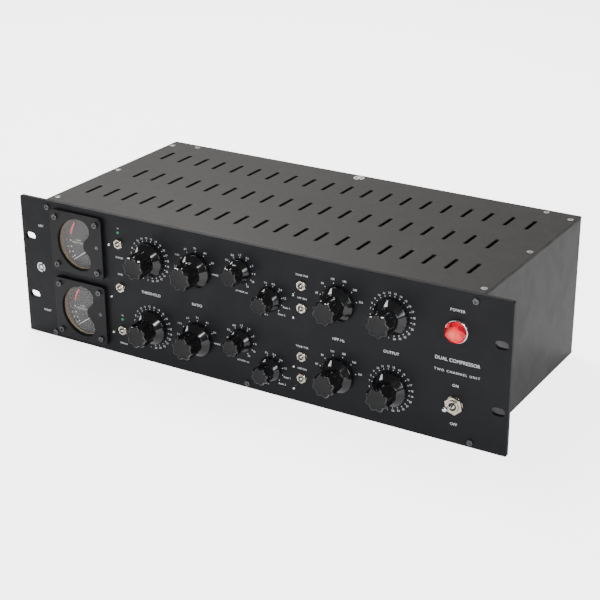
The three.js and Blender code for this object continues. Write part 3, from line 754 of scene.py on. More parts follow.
def jewel_material(name, base, deep, bright, axis):
    """A lit cut lens: each facet has its own brightness, and the middle glows orange."""
    material, graph, shader = start_material(name)
    links = material.node_tree.links
    facing = graph.add("ShaderNodeNewGeometry").outputs["True Normal"]
    facet = graph.add("ShaderNodeTexNoise", {"Vector": facing, "Scale": 2.6, "Detail": 1.0})
    level = graph.spread(facet.outputs["Fac"], 0.42, 0.6)
    place = graph.add("ShaderNodeTexCoord").outputs["Object"]
    away = graph.add("ShaderNodeVectorMath", operation="DISTANCE")
    links.new(place, away.inputs[0])
    away.inputs[1].default_value = axis
    middle = graph.spread(away.outputs["Value"], *JEWEL_GLOW)
    shine = graph.mix(graph.math("MAXIMUM", level, middle), opaque(deep), opaque(base))
    lit = graph.mix(graph.math("MULTIPLY", middle, 0.8), shine, opaque(bright))
    handling = use_group(graph, "Handling", Smears=0.4, Scratches=0.2)
    links.new(shine, shader.inputs["Base Color"])
    links.new(lit, shader.inputs["Emission Color"])
    links.new(graph.spread(handling.outputs["Mask"], 0, 1, 0.05, 0.14), shader.inputs["Roughness"])
    shader.inputs["Emission Strength"].default_value = 0.9
    shader.inputs["Specular IOR Level"].default_value = 0.45
    return material


def jewel_middle():
    low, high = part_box("lamp_jewel")
    return ((low.x + high.x) / 2, low.y, (low.z + high.z) / 2)


def build_materials(scene):
    """Makes every finish once, from the settings."""
    case, ink, knobs = scene.rack_case, scene.rack_print, scene.rack_knobs
    meters, metal = scene.rack_meters, scene.rack_metal
    table = {
        "panel": surface("Panel black", case.panel_colour, 0.45, 0.22, 0.16, wear=case.wear,
                         worn=(0.1, 0.1, 0.105), variation=0.12, smears=0.35, scratches=0.1,
                         specular=0.22),
        "coat": surface("Powder coat", case.coat_colour, 0.45, 0.7, 0.3, wear=case.wear,
                        worn=(0.16, 0.16, 0.165), variation=0.1, patch_mm=70, smears=0.25, specular=0.34),
        "ink": ink_material("White ink", ink.ink_colour),
        "knob": surface("Knob plastic", knobs.body_colour, 0.1, 0.35, 0.02, coat=0.5, smears=0.5,
                        scratches=0.25, variation=0.2, specular=0.42),
        "knob_top": surface("Knob top", (0.013, 0.013, 0.0138), 0.5, 0.3, 0.35, smears=0.6, scratches=0.5,
                            variation=0.15, wear=0.5, worn=(0.12, 0.12, 0.12), wear_radius=0.4 * MM,
                            specular=0.25),
        "pointer": ink_material("Pointer white", knobs.pointer_colour),
        "meter": surface("Meter plastic", (0.006, 0.006, 0.0068), 0.4, 0.3, 0.2, smears=0.4,
                         variation=0.15, specular=0.28),
        "glass": glass_material("Window"),
        # The meter rim's gold colour and faint glow are painted light; the ring is no lamp.
        "rim": glowing_material("Rim painted glow", (0.42, 0.29, 0.13), meters.glow_colour, 0.05, 0.4),
        "band": ink_material("Red band", meters.band_colour),
        "scale": ink_material("Scale ink", (0.72, 0.66, 0.54)),
        "needle": ink_material("Needle paint", meters.needle_colour),
        "nickel": surface("Nickel plate", metal.nickel_colour, 0.19, 0.4, 0.08, metallic=1.0,
                          variation=0.12, smears=0.7, scratches=0.6, wear=0.35, worn=(0.9, 0.87, 0.8)),
        "chrome": surface("Chrome", (0.8, 0.81, 0.82), 0.08, 0.5, 0.02, metallic=1.0, variation=0.04,
                          smears=0.5, scratches=0.4),
        "screw": surface("Black oxide", metal.screw_colour, 0.26, 0.3, 0.1, metallic=0.85, variation=0.2,
                         wear=1.0, worn=(0.42, 0.42, 0.43), wear_radius=0.4 * MM, smears=0.5),
        "zinc": surface("Zinc plate", metal.steel_colour, 0.3, 0.3, 0.1, metallic=1.0, variation=0.15,
                        smears=0.5, scratches=0.4, wear=0.3, worn=(0.85, 0.85, 0.85)),
        "jewel": jewel_material("Jewel", metal.jewel_colour, (0.09, 0.0, 0.004), (1.0, 0.3, 0.16),
                                jewel_middle()),
        "led": glowing_material("Indicator", metal.led_colour, (0.1, 0.9, 0.3), 0.02, 0.25),
        # Near-black matte paint for toggle throats and meter walls: painted shade in recesses.
        "dark": surface("Painted recess shade", (0.004, 0.004, 0.004), 0.8, 0.5, 0.1, variation=0.1),
        "socket": surface("Socket plastic", (0.014, 0.014, 0.015), 0.4, 0.4, 0.15, smears=0.3,
                          variation=0.15),
        "rubber": surface("Rubber", (0.012, 0.012, 0.012), 0.75, 0.6, 0.3, variation=0.2),
        "board": surface("Solder mask", (0.012, 0.09, 0.035), 0.35, 1.2, 0.2, patch_mm=8, variation=0.35),
        "wound": surface("Wound wire", (0.3, 0.17, 0.05), 0.35, 1.5, 0.6, patch_mm=12, variation=0.3,
                         coat=0.4),
        "brass": surface("Contact metal", (0.75, 0.6, 0.32), 0.25, 0.3, 0.06, metallic=1.0, variation=0.1),
    }
    MATERIALS.update(table)


def paint(node, key):
    """Gives a carried-over node one of the finishes."""
    mesh = frame["nodes"][node].data
    mesh.materials.clear()
    mesh.materials.append(MATERIALS[key])


# ---------------------------------------------------------------- screws
def socket_screw(name, place, head, height, across_flats, finish):
    """A socket-cap screw: rounded head with a hexagon recess."""
    bm = bmesh.new()
    floor = height - height * 0.6
    rings = [(head, 0.0)] + rounded_step(head, height, head * 0.14)
    rings += [(hexagon(across_flats + 0.3), height), (hexagon(across_flats), height - 0.15)]
    rings += [(hexagon(across_flats), floor), (hexagon(across_flats * 0.5), floor - 0.2)]
    loft(bm, rings, place, 48)
    return finish_mesh(bm, name, finish, CHASSIS, 30)


def countersunk_screw(name, place, head, finish):
    """A flat-headed screw with a cross recess, nearly flush with its surface."""
    bm = bmesh.new()
    arm, width, depth = head * 0.62, head * 0.15, 0.55

    def cross(angle):
        c, s = abs(math.cos(angle)), abs(math.sin(angle))
        along, across = max(c, s), min(c, s)
        reach = arm if across * arm <= width * along else width / max(across, 1e-6)
        return min(reach, arm)

    rings = [(head, -0.1)] + rounded_step(head, 0.22, 0.2)
    rings += [(cross, 0.22), (lambda a: cross(a) * 0.8, 0.22 - depth), (0.12, 0.1 - depth)]
    loft(bm, rings, place, 64)
    return finish_mesh(bm, name, finish, CHASSIS, 30)


# ---------------------------------------------------------------- front panel and its printing
def knob_names():
    return [(side, kind) for side in SIDES for kind in SCALES]


def panel_outlines():
    outlines = [rounded_rectangle(0, MIDDLE, PANEL_WIDTH, PANEL_HEIGHT, 1.2)]
    for opening in frame["record"]["physics"]["openings"]:
        if "rack_slot" in opening["name"]:
            (x0, _, z0), (x1, _, z1) = opening["box_m"]
            outlines.append(slot_outline((x0 + x1) / 2 / MM, (z0 + z1) / 2 / MM, *RACK_SLOT))
    for side, kind in knob_names():
        x, z = joint_place(f"{side}_{kind}_turn")
        outlines.append(circle(x, z, KNOB_HOLE, HOLE_POINTS))
    for switch in SWITCHES + (POWER_SWITCH,):
        x, z = joint_place(f"{switch}_switch_throw")
        radius = SWITCH_SIZE[switch == POWER_SWITCH]["bushing"] + HOLE_GAP
        outlines.append(circle(x, z, radius, HOLE_POINTS))
    for side in SIDES:
        x, z = meter_centre(side)
        outlines.append(arc(x, z, METER_HOLE, 0, 357, 63))
    x, z = lamp_centre()
    outlines.append(circle(x, z, LAMP["barrel"] + 0.4, 36))
    return outlines


def centre_of(node):
    low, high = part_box(node)
    return (low.x + high.x) / 2 / MM, (low.z + high.z) / 2 / MM


def meter_centre(side):
    return centre_of(f"{side}_meter_bezel")


def lamp_centre():
    return centre_of("lamp_bezel")


def make_panel(scene):
    case = scene.rack_case
    back = on_front(0, 0, -PANEL_THICKNESS)
    panel = plate("front_plate", panel_outlines(), PANEL_THICKNESS, back, case.edge_round / MM,
                  "panel", CHASSIS)
    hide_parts("front_panel")
    for index, (x, z) in enumerate(PANEL_SCREWS):
        socket_screw(f"panel_screw_{index + 1}", on_front(x, z), 2.6, 1.5, 2.6, "screw")


def scale_angle(scale, index):
    step = (scale["last"] - scale["first"]) / (len(scale["marks"]) - 1)
    return scale["first"] + step * index


def print_scale(bm, side, kind, settings):
    """Dots and numbers round one knob."""
    scale = SCALES[kind]
    x, z = joint_place(f"{side}_{kind}_turn")
    thickness = settings.ink_thickness / MM
    place = on_front(x, z)
    height = settings.number_height / MM
    for index, text in enumerate(scale["marks"]):
        degrees = scale_angle(scale, index)
        spot = place @ at_angle(degrees, scale["dots"])
        dot(bm, settings.dot_radius / MM, spot, thickness)
        extra = LONG_TEXT * height * max(0, len(text) - 2) * abs(math.cos(math.radians(degrees)))
        word(bm, text, height, place @ at_angle(degrees, scale["text"] + extra), 1.0, thickness)


def print_titles(bm, settings):
    """Control names; the large knobs share one name between the two rows."""
    thickness = settings.ink_thickness / MM
    height = settings.word_height / MM
    for side in SIDES:
        for kind, scale in SCALES.items():
            text, dx, dz = scale["title"]
            if scale["large"] and side == "right":
                continue
            x, z = joint_place(f"{side}_{kind}_turn")
            cap = height if scale["large"] else height * SMALL_TITLE
            word(bm, text, cap, on_front(x + dx, z + dz), 1.0, thickness)


def print_words(bm, settings):
    """Switch names, channel names and the unit's plain description."""
    thickness = settings.ink_thickness / MM
    left_x, _ = joint_place("left_bypass_switch_throw")
    tone_x, _ = joint_place("left_tone_switch_throw")
    words = [
        ("LEFT", -219, 106.8, 2.0, 1.0),
        ("RIGHT", -218.5, 24.6, 2.0, 1.0),
        ("POWER", 194.8, 115.6, 2.35, 1.16),
        ("ON", 195.4, 51.2, 2.35, 1.12),
        ("OFF", 194.9, 17.0, 2.35, 1.12),
        ("DUAL COMPRESSOR", 196.2, 72.4, 2.95, 1.0),
        ("TWO CHANNEL UNIT", 196.2, 62.2, 2.1, 1.4),
        ("LINK", left_x, MIDDLE + 11.6, 1.7, 1.0),
    ]
    for side in SIDES:
        _, z = joint_place(f"{side}_bypass_switch_throw")
        words.append(("IN", left_x, z + 14.1, 1.3, 1.0))
        words.append(("BYPASS", left_x, z - 13.2, 1.7, 1.0))
        _, tone_z = joint_place(f"{side}_tone_switch_throw")
        _, filter_z = joint_place(f"{side}_filter_switch_throw")
        words.append(("TONE THR", tone_x, tone_z + 8.7, 1.7, 1.0))
        words.append(("HPF ON", tone_x, filter_z + 8.4, 1.7, 1.0))
    for text, x, z, cap, spacing in words:
        word(bm, text, cap, on_front(x, z), spacing, thickness)


def print_emblem(bm, place, radius, thickness):
    """A broken ring round a disc, like a knob seen from the front."""
    band(bm, radius * 0.68, radius, 70, 290, place, thickness, 36)
    band(bm, radius * 0.68, radius, -50, 50, place, thickness, 18)
    dot(bm, radius * 0.44, place, thickness, 32)


def make_printing(scene):
    settings = scene.rack_print
    thickness = settings.ink_thickness / MM
    for side, kind in knob_names():
        bm = bmesh.new()
        print_scale(bm, side, kind, settings)
        finish_mesh(bm, f"{side}_{kind}_scale", "ink", CHASSIS, 30)
    bm = bmesh.new()
    print_titles(bm, settings)
    print_words(bm, settings)
    finish_mesh(bm, "panel_words", "ink", CHASSIS, 30)
    bm = bmesh.new()
    print_emblem(bm, on_front(-222.5, MIDDLE), 4.6, thickness)
    finish_mesh(bm, "panel_emblem", "ink", CHASSIS, 30)


# ---------------------------------------------------------------- knobs
def make_knob(scene, side, kind):
    """A turned skirt that rises to a lobed grip with a flat top, and a white pointer on the skirt."""
    scale = SCALES[kind]
    size = KNOB_SIZE[scale["large"]]
    depth = scene.rack_knobs.flute_depth / MM * size["grip"] / KNOB_SIZE[True]["grip"]
    rest = math.radians(scale["rest"][side])
    x, z = joint_place(f"{side}_{kind}_turn")
    place = on_front(x, z)

    def lobed(radius, share):
        def radius_at(angle):
            wave = 0.5 - 0.5 * math.cos(KNOB_LOBES * (angle - rest))
            return radius - depth * share * wave ** 0.85

        return radius_at

    bm = bmesh.new()
    skirt, edge, foot, grip, height, neck = size.values()
    body = [(3.0, -6.0), (3.0, KNOB_LIFT), (skirt - 0.4, KNOB_LIFT), (skirt, KNOB_LIFT + 0.4)]
    body += [(skirt - 0.1, edge - 0.5), (skirt - 0.25, edge - 0.15), (skirt - 0.6, edge + 0.15)]
    body += [(neck + 0.7, foot - 0.35), (neck + 0.25, foot), (lobed(neck, 0.1), foot + 0.5)]
    body += [(lobed(grip - 0.3, 0.7), foot + 2.2), (lobed(grip - 0.1, 1.0), foot + 4.0)]
    inward, back = KNOB_RIM
    for step in range(9):
        turn = math.radians(90 * step / 8)
        rim = lobed(grip - inward * (1 - math.cos(turn)), 1.0)
        body.append((rim, height - back * (1 - math.sin(turn))))
    loft(bm, body, place, 128, closed_ends=(True, False))
    top = [(lobed(grip - inward, 1.0), height), (lobed(grip - inward - 0.25, 1.0), height - 0.12)]
    top += [(grip * 0.55, height - 0.12), (grip * 0.5, height - 0.22), (grip * 0.2, height - 0.22)]
    loft(bm, top, place, 128, closed_ends=(False, True), material=1)
    body_name = f"{side}_{kind}_knob"
    knob = finish_mesh(bm, f"{side}_{kind}_grip", "knob knob_top", body_name, 40)
    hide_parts(body_name)
    make_pointer(side, kind, place, size, rest)


def make_pointer(side, kind, place, size, rest):
    """A wedge that follows the skirt's slope, narrow at the rim and wide at the grip."""
    bm = bmesh.new()
    outer = (size["skirt"] - 0.7, size["edge"] + 0.2)
    inner = (size["neck"] + 0.95, size["foot"] - 0.5)
    steps = 6
    rows = []
    for i in range(steps + 1):
        share = i / steps
        radius = outer[0] + (inner[0] - outer[0]) * share
        height = outer[1] + (inner[1] - outer[1]) * share
        half_width = (0.5 + 1.0 * share) * (1.0 if size["skirt"] > 12 else 0.8)
        row = []
        for lift in (-0.15, 0.1):
            for side_sign in (-1, 1):
                angle = rest + side_sign * half_width / radius
                reach = radius + lift * 0.6
                point = Vector((reach * math.cos(angle), reach * math.sin(angle), height + lift * 0.8))
                row.append(bm.verts.new(place @ point))
        rows.append([row[0], row[1], row[3], row[2]])
    bar(bm, rows)
    finish_mesh(bm, f"{side}_{kind}_pointer", "pointer", f"{side}_{kind}_knob", 30)


# ---------------------------------------------------------------- meters
def window_outline():
    """A bean: a large arc, a lobe at each end and a bite over the needle's pivot, all tangent."""
    middle, lobe_x, rise = WINDOW["middle"], WINDOW["lobe_x"], WINDOW["lobe_rise"]
    lobe, bite_x = WINDOW["lobe_radius"], WINDOW["bite_x"]
    large = math.hypot(lobe_x - middle, rise) + lobe
    bite = math.hypot(bite_x - lobe_x, rise) - lobe
    large_turn = math.degrees(math.atan2(rise, lobe_x - middle))
    bite_turn = math.degrees(math.atan2(rise, bite_x - lobe_x))
    points = arc(middle, 0, large, large_turn, 360 - large_turn, 72)
    points += arc(lobe_x, -rise, lobe, -large_turn, bite_turn, 24)[1:]
    points += arc(bite_x, 0, bite, 180 + bite_turn, 180 - bite_turn, 24)[1:]
    points += arc(lobe_x, rise, lobe, -bite_turn, large_turn, 24)[1:-1]
    return points


def make_meter(scene, side):
    x, z = meter_centre(side)
    face = METER["thickness"] + STAND_OFF
    outline = rounded_rectangle(0, 0, METER["size"], METER["size"], METER["corner"])
    place = on_front(x, z, STAND_OFF)
    bezel = plate(f"{side}_meter_frame", [outline, window_outline()], METER["thickness"], place, 0.4,
                  "meter", CHASSIS)
    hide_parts(f"{side}_meter_bezel")
    half = METER["screw_pitch"] / 2
    for index, (sx, sz) in enumerate(((-1, 1), (1, 1), (-1, -1), (1, -1))):
        spot = on_front(x + sx * half, z + sz * half, face - 0.1)
        socket_screw(f"{side}_meter_screw_{index + 1}", spot, 2.55, 2.0, 2.5, "screw")
    zero_x, zero_z = METER["zero"]
    zero = on_front(x + zero_x, z + zero_z, face - 0.2)
    countersunk_screw(f"{side}_meter_zero_screw", zero, 1.7, "screw")
    make_meter_rim(side, x, z)
    make_dial(scene.rack_meters, side, x, z)
    make_needle(side)
    paint(f"{side}_meter_window", "glass")
    paint(f"{side}_meter_case", "meter")


def dial_size(side):
    """The low corner of a dial's box, its depth behind the panel's face and its radius."""
    low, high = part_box(f"{side}_meter_dial")
    return low, (low.y - FRONT) / MM, (high.x - low.x) / 2 / MM


def make_meter_rim(side, x, z):
    """The case's lip round the card: a thin ring with a painted warm glow, and a wall from it to the frame in
    near-black, matte painted shade.
    """
    _, depth, radius = dial_size(side)
    bm = bmesh.new()
    outer = radius + 1.0
    rings = [(outer, -depth + 1.1), (outer, -depth + 0.05), (radius - 0.15, -depth + 0.05)]
    rings += [(radius + 0.1, -depth + 0.8), (radius + 0.5, -depth + 1.1)]
    loft(bm, rings, on_front(x, z), 96, closed_loop=True)
    finish_mesh(bm, f"{side}_meter_rim", "rim", CHASSIS, 40)
    # The wall is near-black and matte: its own black plastic, deepened as painted shade.
    wall = bmesh.new()
    rings = [(outer + 0.3, -0.1), (outer + 0.3, -depth + 1.1)]
    rings += [(radius + 0.5, -depth + 1.15), (radius + 0.4, -0.1)]
    loft(wall, rings, on_front(x, z), 96, closed_loop=True)
    finish_mesh(wall, f"{side}_meter_wall", "dark", CHASSIS, 40)


def make_dial(settings, side, x, z):
    """The card itself, and its printing round the needle's pivot."""
    low, depth, radius = dial_size(side)
    card = bmesh.new()
    rings = [(radius - 0.2, -0.8)] + rounded_step(radius - 0.2, 0.0, 0.2, 2) + [(radius * 0.5, 0.0)]
    loft(card, rings, on_front(x, z, -depth), 72)
    centre = (x * MM, low.y, z * MM)
    lit = dial_material(f"Dial card {side}", settings.dial_colour, settings.glow_colour, centre)
    MATERIALS[f"dial_{side}"] = lit
    piece = finish_mesh(card, f"{side}_dial_card", f"dial_{side}", CHASSIS, 40)
    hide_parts(f"{side}_meter_dial")
    place = on_front(joint_place(f"{side}_meter_swing")[0], z, -depth)
    print_dial(side, place)


def print_dial(side, place):
    """Red band, dots, numbers and two small words, laid out round the needle's pivot."""
    scale = METER["scale_radius"]
    red = bmesh.new()
    band(red, scale - 0.85, scale + 0.85, *RED_BAND, place, DIAL_INK, 20)
    white = bmesh.new()
    for degrees in METER_DOTS:
        dot(white, 0.65, place @ at_angle(degrees, scale), DIAL_INK)
    for index, (text, degrees, reach) in enumerate(METER_NUMBERS):
        word(red if index < 2 else white, text, 1.7, place @ at_angle(degrees, reach), 1.0, DIAL_INK)
    finish_mesh(red, f"{side}_dial_band", "band", CHASSIS, 30)
    finish_mesh(white, f"{side}_dial_marks", "needle", CHASSIS, 30)
    words = bmesh.new()
    for text, dx, dz in (("GAIN", -20.0, 1.3), ("REDUCTION", -20.9, -1.3)):
        word(words, text, 1.35, place @ Matrix.Translation((dx, dz, 0)), 1.1, DIAL_INK)
    finish_mesh(words, f"{side}_dial_words", "scale", CHASSIS, 30)


def make_needle(side):
    """A tapering pointer with a rounded hub and its staff."""
    node = f"{side}_meter_needle"
    low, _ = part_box(node)
    depth = (low.y - FRONT) / MM
    pivot_x, z = joint_place(f"{side}_meter_swing")
    place = on_front(pivot_x, z, -depth)
    turn = place @ Matrix.Rotation(math.radians(METER["needle_angle"]), 4, "Z")
    bm = bmesh.new()
    stations = ((-6.0, 0.7), (-2.0, 0.55), (12.0, 0.42), (29.5, 0.3), (31.0, 0.12))
    rows = []
    for along, half in stations:
        section = ((-half, -0.7), (half, -0.7), (half * 0.6, -0.3), (-half * 0.6, -0.3))
        rows.append([bm.verts.new(turn @ Vector((along, across, rise))) for across, rise in section])
    bar(bm, rows)
    loft(bm, [(0.9, -9.0), (0.9, -0.9), (2.2, -0.85), (2.2, -0.25), (1.9, -0.02), (0.5, 0.0)], place, 32)
    needle = finish_mesh(bm, f"{side}_needle", "needle", node, 40)
    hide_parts(node)


# ---------------------------------------------------------------- toggle switches
def make_switch(name):
    """Hexagon nut, threaded bushing with a dished mouth, a washer and the bat lever."""
    size = SWITCH_SIZE[name == POWER_SWITCH]
    x, z = joint_place(f"{name}_switch_throw")
    place = on_front(x, z)
    bushing, height, mouth, flats = size["bushing"], size["height"], size["mouth"], size["flats"]
    bm = bmesh.new()
    washer = flats * 0.53
    rings = [(bushing + 0.1, 0.02), (washer, 0.02)]
    rings += rounded_step(washer, 0.3, 0.1) + [(bushing + 0.1, 0.3)]
    loft(bm, rings, place, 48, closed_loop=True)
    low, high = 0.3, 0.3 + size["nut"]
    nut = [(bushing + 0.05, low), (hexagon(flats, 0.25), low), (hexagon(flats, 0.2), low + 0.15)]
    nut += [(hexagon(flats, 0.2), high - 0.3), (hexagon(flats * 0.95, 0.35), high), (bushing + 0.05, high)]
    loft(bm, nut, place @ Matrix.Rotation(math.radians(11), 4, "Z"), 96, closed_loop=True)
    rings = [(bushing - 0.25, -3.5), (bushing - 0.25, high - 0.15)]
    turns = 2
    pitch = (height - 0.25 - high) / turns
    for turn in range(turns):
        start = high + turn * pitch
        rings += [(bushing - 0.22, start + pitch * 0.15), (bushing, start + pitch * 0.6)]
    rings += [(bushing - 0.25, height), (mouth + 0.2, height), (mouth, height - 0.2)]
    loft(bm, rings, place, 48, closed_ends=(True, False))
    # The throat is painted near-black: painted shade inside the bushing's mouth.
    throat = [(mouth, height - 0.2), (size["ball"] + 0.3, size["pivot"] + size["ball"] * 0.3)]
    throat += [(size["ball"] + 0.3, size["pivot"] - size["ball"] - 0.3)]
    loft(bm, throat, place, 48, closed_ends=(False, True), material=1)
    nut = finish_mesh(bm, f"{name}_switch_nut", "nickel dark", CHASSIS, 32)
    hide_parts(f"{name}_switch_body")
    make_switch_housing(name, size, x, z)
    make_lever(name, size, x, z)


def lever_lean(name, size):
    """Turn of the lever about the switch's axis: up or down as its own solid stands."""
    low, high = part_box(f"{name}_switch_lever")
    _, z = joint_place(f"{name}_switch_throw")
    rise, drop = high.z / MM - z, z - low.z / MM
    return math.radians(-size["tilt"] if rise > drop else size["tilt"])


def make_lever(name, size, x, z):
    """Ball pivot, slim stem and a ball end, turned in one piece."""
    lean = Matrix.Rotation(lever_lean(name, size), 4, "X")
    place = on_front(x, z, size["pivot"]) @ lean
    ball, stem, tip, reach = size["ball"], size["stem"], size["tip"], size["reach"]
    neck = math.degrees(math.acos(stem / ball))
    rings = []
    for step in range(11):
        angle = math.radians(-88 + (88 + neck) * step / 10)
        rings.append((ball * math.cos(angle), ball * math.sin(angle)))
    centre = reach - tip
    foot = math.degrees(math.acos(stem / tip))
    rings.append((stem, centre - tip * 2.5))
    for step in range(13):
        angle = math.radians(-foot + (foot + 88) * step / 12)
        rings.append((tip * math.cos(angle), centre + tip * math.sin(angle)))
    bm = bmesh.new()
    loft(bm, rings, place, 32)
    node = f"{name}_switch_lever"
    lever = finish_mesh(bm, f"{name}_bat_lever", "chrome", node, 45)
    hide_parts(node)


def make_switch_housing(name, size, x, z):
    """The closed box behind the panel, with its three solder tags."""
    _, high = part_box(f"{name}_switch_body")
    half_width, half_height = size["housing"]
    front = -PANEL_THICKNESS - STAND_OFF
    back = (FRONT - high.y) / MM
    bm = bmesh.new()
    place = on_front(x, z)
    box(bm, (-half_width, -half_height, back + 3), (half_width, half_height, front), place, 0.3)
    for offset in (-0.6, 0.0, 0.6):
        rise = half_height * offset
        box(bm, (-1.0, rise - 0.3, back), (1.0, rise + 0.3, back + 2.9), place)
    finish_mesh(bm, f"{name}_switch_housing", "socket", CHASSIS, 30)


# ---------------------------------------------------------------- lamp and indicators
def make_lamp():
    """Chrome ring with its barrel, and the lens standing in front of it."""
    x, z = lamp_centre()
    place = on_front(x, z)
    flange, height, foot = LAMP["flange"], LAMP["height"], LAMP["foot"]
    bm = bmesh.new()
    rings = [(LAMP["barrel"], -22.0), (LAMP["barrel"], 0.1), (flange, 0.1)]
    rings += rounded_step(flange, height, 0.9, 4) + [(foot + 0.5, height), (foot + 0.3, height - 0.2)]
    rings += [(foot + 0.3, -0.6), (6.8, -0.6), (6.8, -22.0)]
    loft(bm, rings, place, 72, closed_loop=True)
    bezel = finish_mesh(bm, "lamp_ring", "chrome", CHASSIS, 40)
    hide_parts("lamp_bezel")
    make_jewel(place, height + 0.25)


def make_jewel(place, rest):
    """A cut lens: rows of flat facets that shrink to a small table."""
    bm = bmesh.new()
    facets = 8
    foot, lens, top = LAMP["foot"], LAMP["lens"], LAMP["lens_height"]
    levels = (
        (foot, -0.4, 0.0), (foot, rest, 0.0), (lens, rest + 0.1, 0.0), (lens, rest + 1.7, 0.0),
        (lens * 0.9, rest + 3.4, 0.5), (lens * 0.68, rest + 5.0, 1.0), (lens * 0.36, top, 1.5),
    )
    loops = []
    for radius, rise, phase in levels:
        loop = []
        for i in range(facets):
            angle = 2 * math.pi * (i + phase) / facets
            corner = Vector((radius * math.cos(angle), radius * math.sin(angle), rise))
            loop.append(bm.verts.new(place @ corner))
        loops.append(loop)
    for level, (low, high) in enumerate(zip(loops, loops[1:])):
        staggered = levels[level + 1][2] != levels[level][2]
        for i in range(facets):
            j = (i + 1) % facets
            if staggered:
                bm.faces.new((low[i], low[j], high[i]))
                bm.faces.new((low[j], high[j], high[i]))
            else:
                bm.faces.new((low[i], low[j], high[j], high[i]))
    bm.faces.new(list(reversed(loops[0])))
    bm.faces.new(loops[-1])
    jewel = finish_mesh(bm, "lamp_lens", "jewel", CHASSIS, 5)
    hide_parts("lamp_jewel")


def make_indicators():
    """A small domed lamp above each bypass switch."""
    for side in SIDES:
        x, z = joint_place(f"{side}_bypass_switch_throw")
        bm = bmesh.new()
        rings = [(1.45, -0.5), (1.45, 0.25), (1.3, 0.75), (0.95, 1.15), (0.5, 1.38), (0.1, 1.45)]
        loft(bm, rings, on_front(x, z + INDICATOR_RISE), 28)
        finish_mesh(bm, f"{side}_indicator", "led", CHASSIS, 40)


# ---------------------------------------------------------------- case
def make_case(scene):
    case = scene.rack_case
    thickness = (COVER_HIGH.z - COVER_LOW.z) / MM
    width = (COVER_HIGH.x - COVER_LOW.x) / MM
    depth = (COVER_HIGH.y - COVER_LOW.y) / MM
    middle = (COVER_LOW.y + COVER_HIGH.y) / 2 / MM
    outlines = [rounded_rectangle(0, middle, width, depth, 1.5)]
    slot = (case.vent_length / MM, case.vent_width / MM)
    for count, shift in VENT_ROWS:
        for i in range(count):
            x = VENT_SHIFT + (i - (count - 1) / 2) * VENT_PITCH
            outlines.append(slot_outline(x, middle + shift, *slot, upright=True))
    place = on_top(0, 0) @ Matrix.Translation((0, 0, -thickness))
    cover = plate("cover_plate", outlines, thickness, place, case.cover_round / MM, "coat", CHASSIS)
    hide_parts("top_cover")
    for index, (x, y) in enumerate(COVER_SCREWS):
        spot = on_top(x, y + FRONT / MM)
        countersunk_screw(f"cover_screw_{index + 1}", spot, 2.7, "zinc")
    for side in (-1, 1):
        make_side(side)
    paint("bottom_cover", "coat")
    for node in frame["nodes"]:
        if node.endswith("_foot"):
            paint(node, "rubber")
    emblem = bmesh.new()
    spot = on_top(-2, (COVER_HIGH.y / MM) - 7.5)
    print_emblem(emblem, spot, 5.0, scene.rack_print.ink_thickness / MM)
    finish_mesh(emblem, "cover_emblem", "ink", CHASSIS, 30)


def make_side(side):
    """A sheet wall whose front and rear edges are folded inwards with a round bend."""
    name = "right" if side > 0 else "left"
    low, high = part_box(f"{name}_side_panel")
    outer = max(abs(low.x), abs(high.x)) / MM
    front, back = low.y / MM, high.y / MM
    sheet, fold, bend = SHEET["thickness"], SHEET["fold"], SHEET["bend"]
    outside = (
        [(outer - fold, front)] + arc(outer - bend, front + bend, bend, -90, 0, 8)
        + arc(outer - bend, back - bend, bend, 0, 90, 8) + [(outer - fold, back)]
    )
    inner_bend = bend - sheet
    inside = (
        [(outer - fold, back - sheet)]
        + arc(outer - bend, back - bend, inner_bend, 90, 0, 4)
        + arc(outer - bend, front + bend, inner_bend, 0, -90, 4)
        + [(outer - fold, front + sheet)]
    )
    outline = [(side * x, y) for x, y in outside + inside]
    height = (high.z - low.z) / MM
    place = placed((1, 0, 0), (0, 1, 0), (0, 0, 1), (0, 0, low.z))
    wall = plate(f"{name}_wall", [outline], height, place, 0.0, "coat", CHASSIS)
    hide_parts(f"{name}_side_panel")


# ---------------------------------------------------------------- rear
def make_rear(scene):
    width = (REAR_HIGH.x - REAR_LOW.x) / MM
    middle = (REAR_HIGH.z + REAR_LOW.z) / 2 / MM
    height = (REAR_HIGH.z - REAR_LOW.z) / MM - 4.2
    outlines = [rounded_rectangle(0, 0, width, height, 1.0)]
    for name in SOCKETS:
        x, z = centre_of(f"{name}_socket")
        outlines.append(circle(-x, z - middle, 11.9, 60))
    x, z = centre_of("mains_inlet")
    outlines.append(rounded_rectangle(-x, z - middle, 31.6, 32.6, 1.0))
    sheet = SHEET["thickness"]
    place = on_rear(0, middle) @ Matrix.Translation((0, 0, -sheet))
    rear = plate("rear_plate", outlines, sheet, place, 0.2, "coat", CHASSIS)
    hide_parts("rear_panel")
    for name in SOCKETS:
        make_socket(name)
    make_inlet()
    make_rear_words(scene.rack_print.ink_thickness / MM)
    edge = (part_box("right_side_panel")[1].x / MM) - 6.5
    lift = (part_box("right_side_panel")[1].y - REAR_HIGH.y) / MM
    for index, (sx, sz) in enumerate([(sx, sz) for sx in (-1, 1) for sz in (-1, 0, 1)]):
        spot = on_rear(sx * edge, middle + sz * 48, lift - 0.2)
        countersunk_screw(f"rear_screw_{index + 1}", spot, 2.7, "zinc")


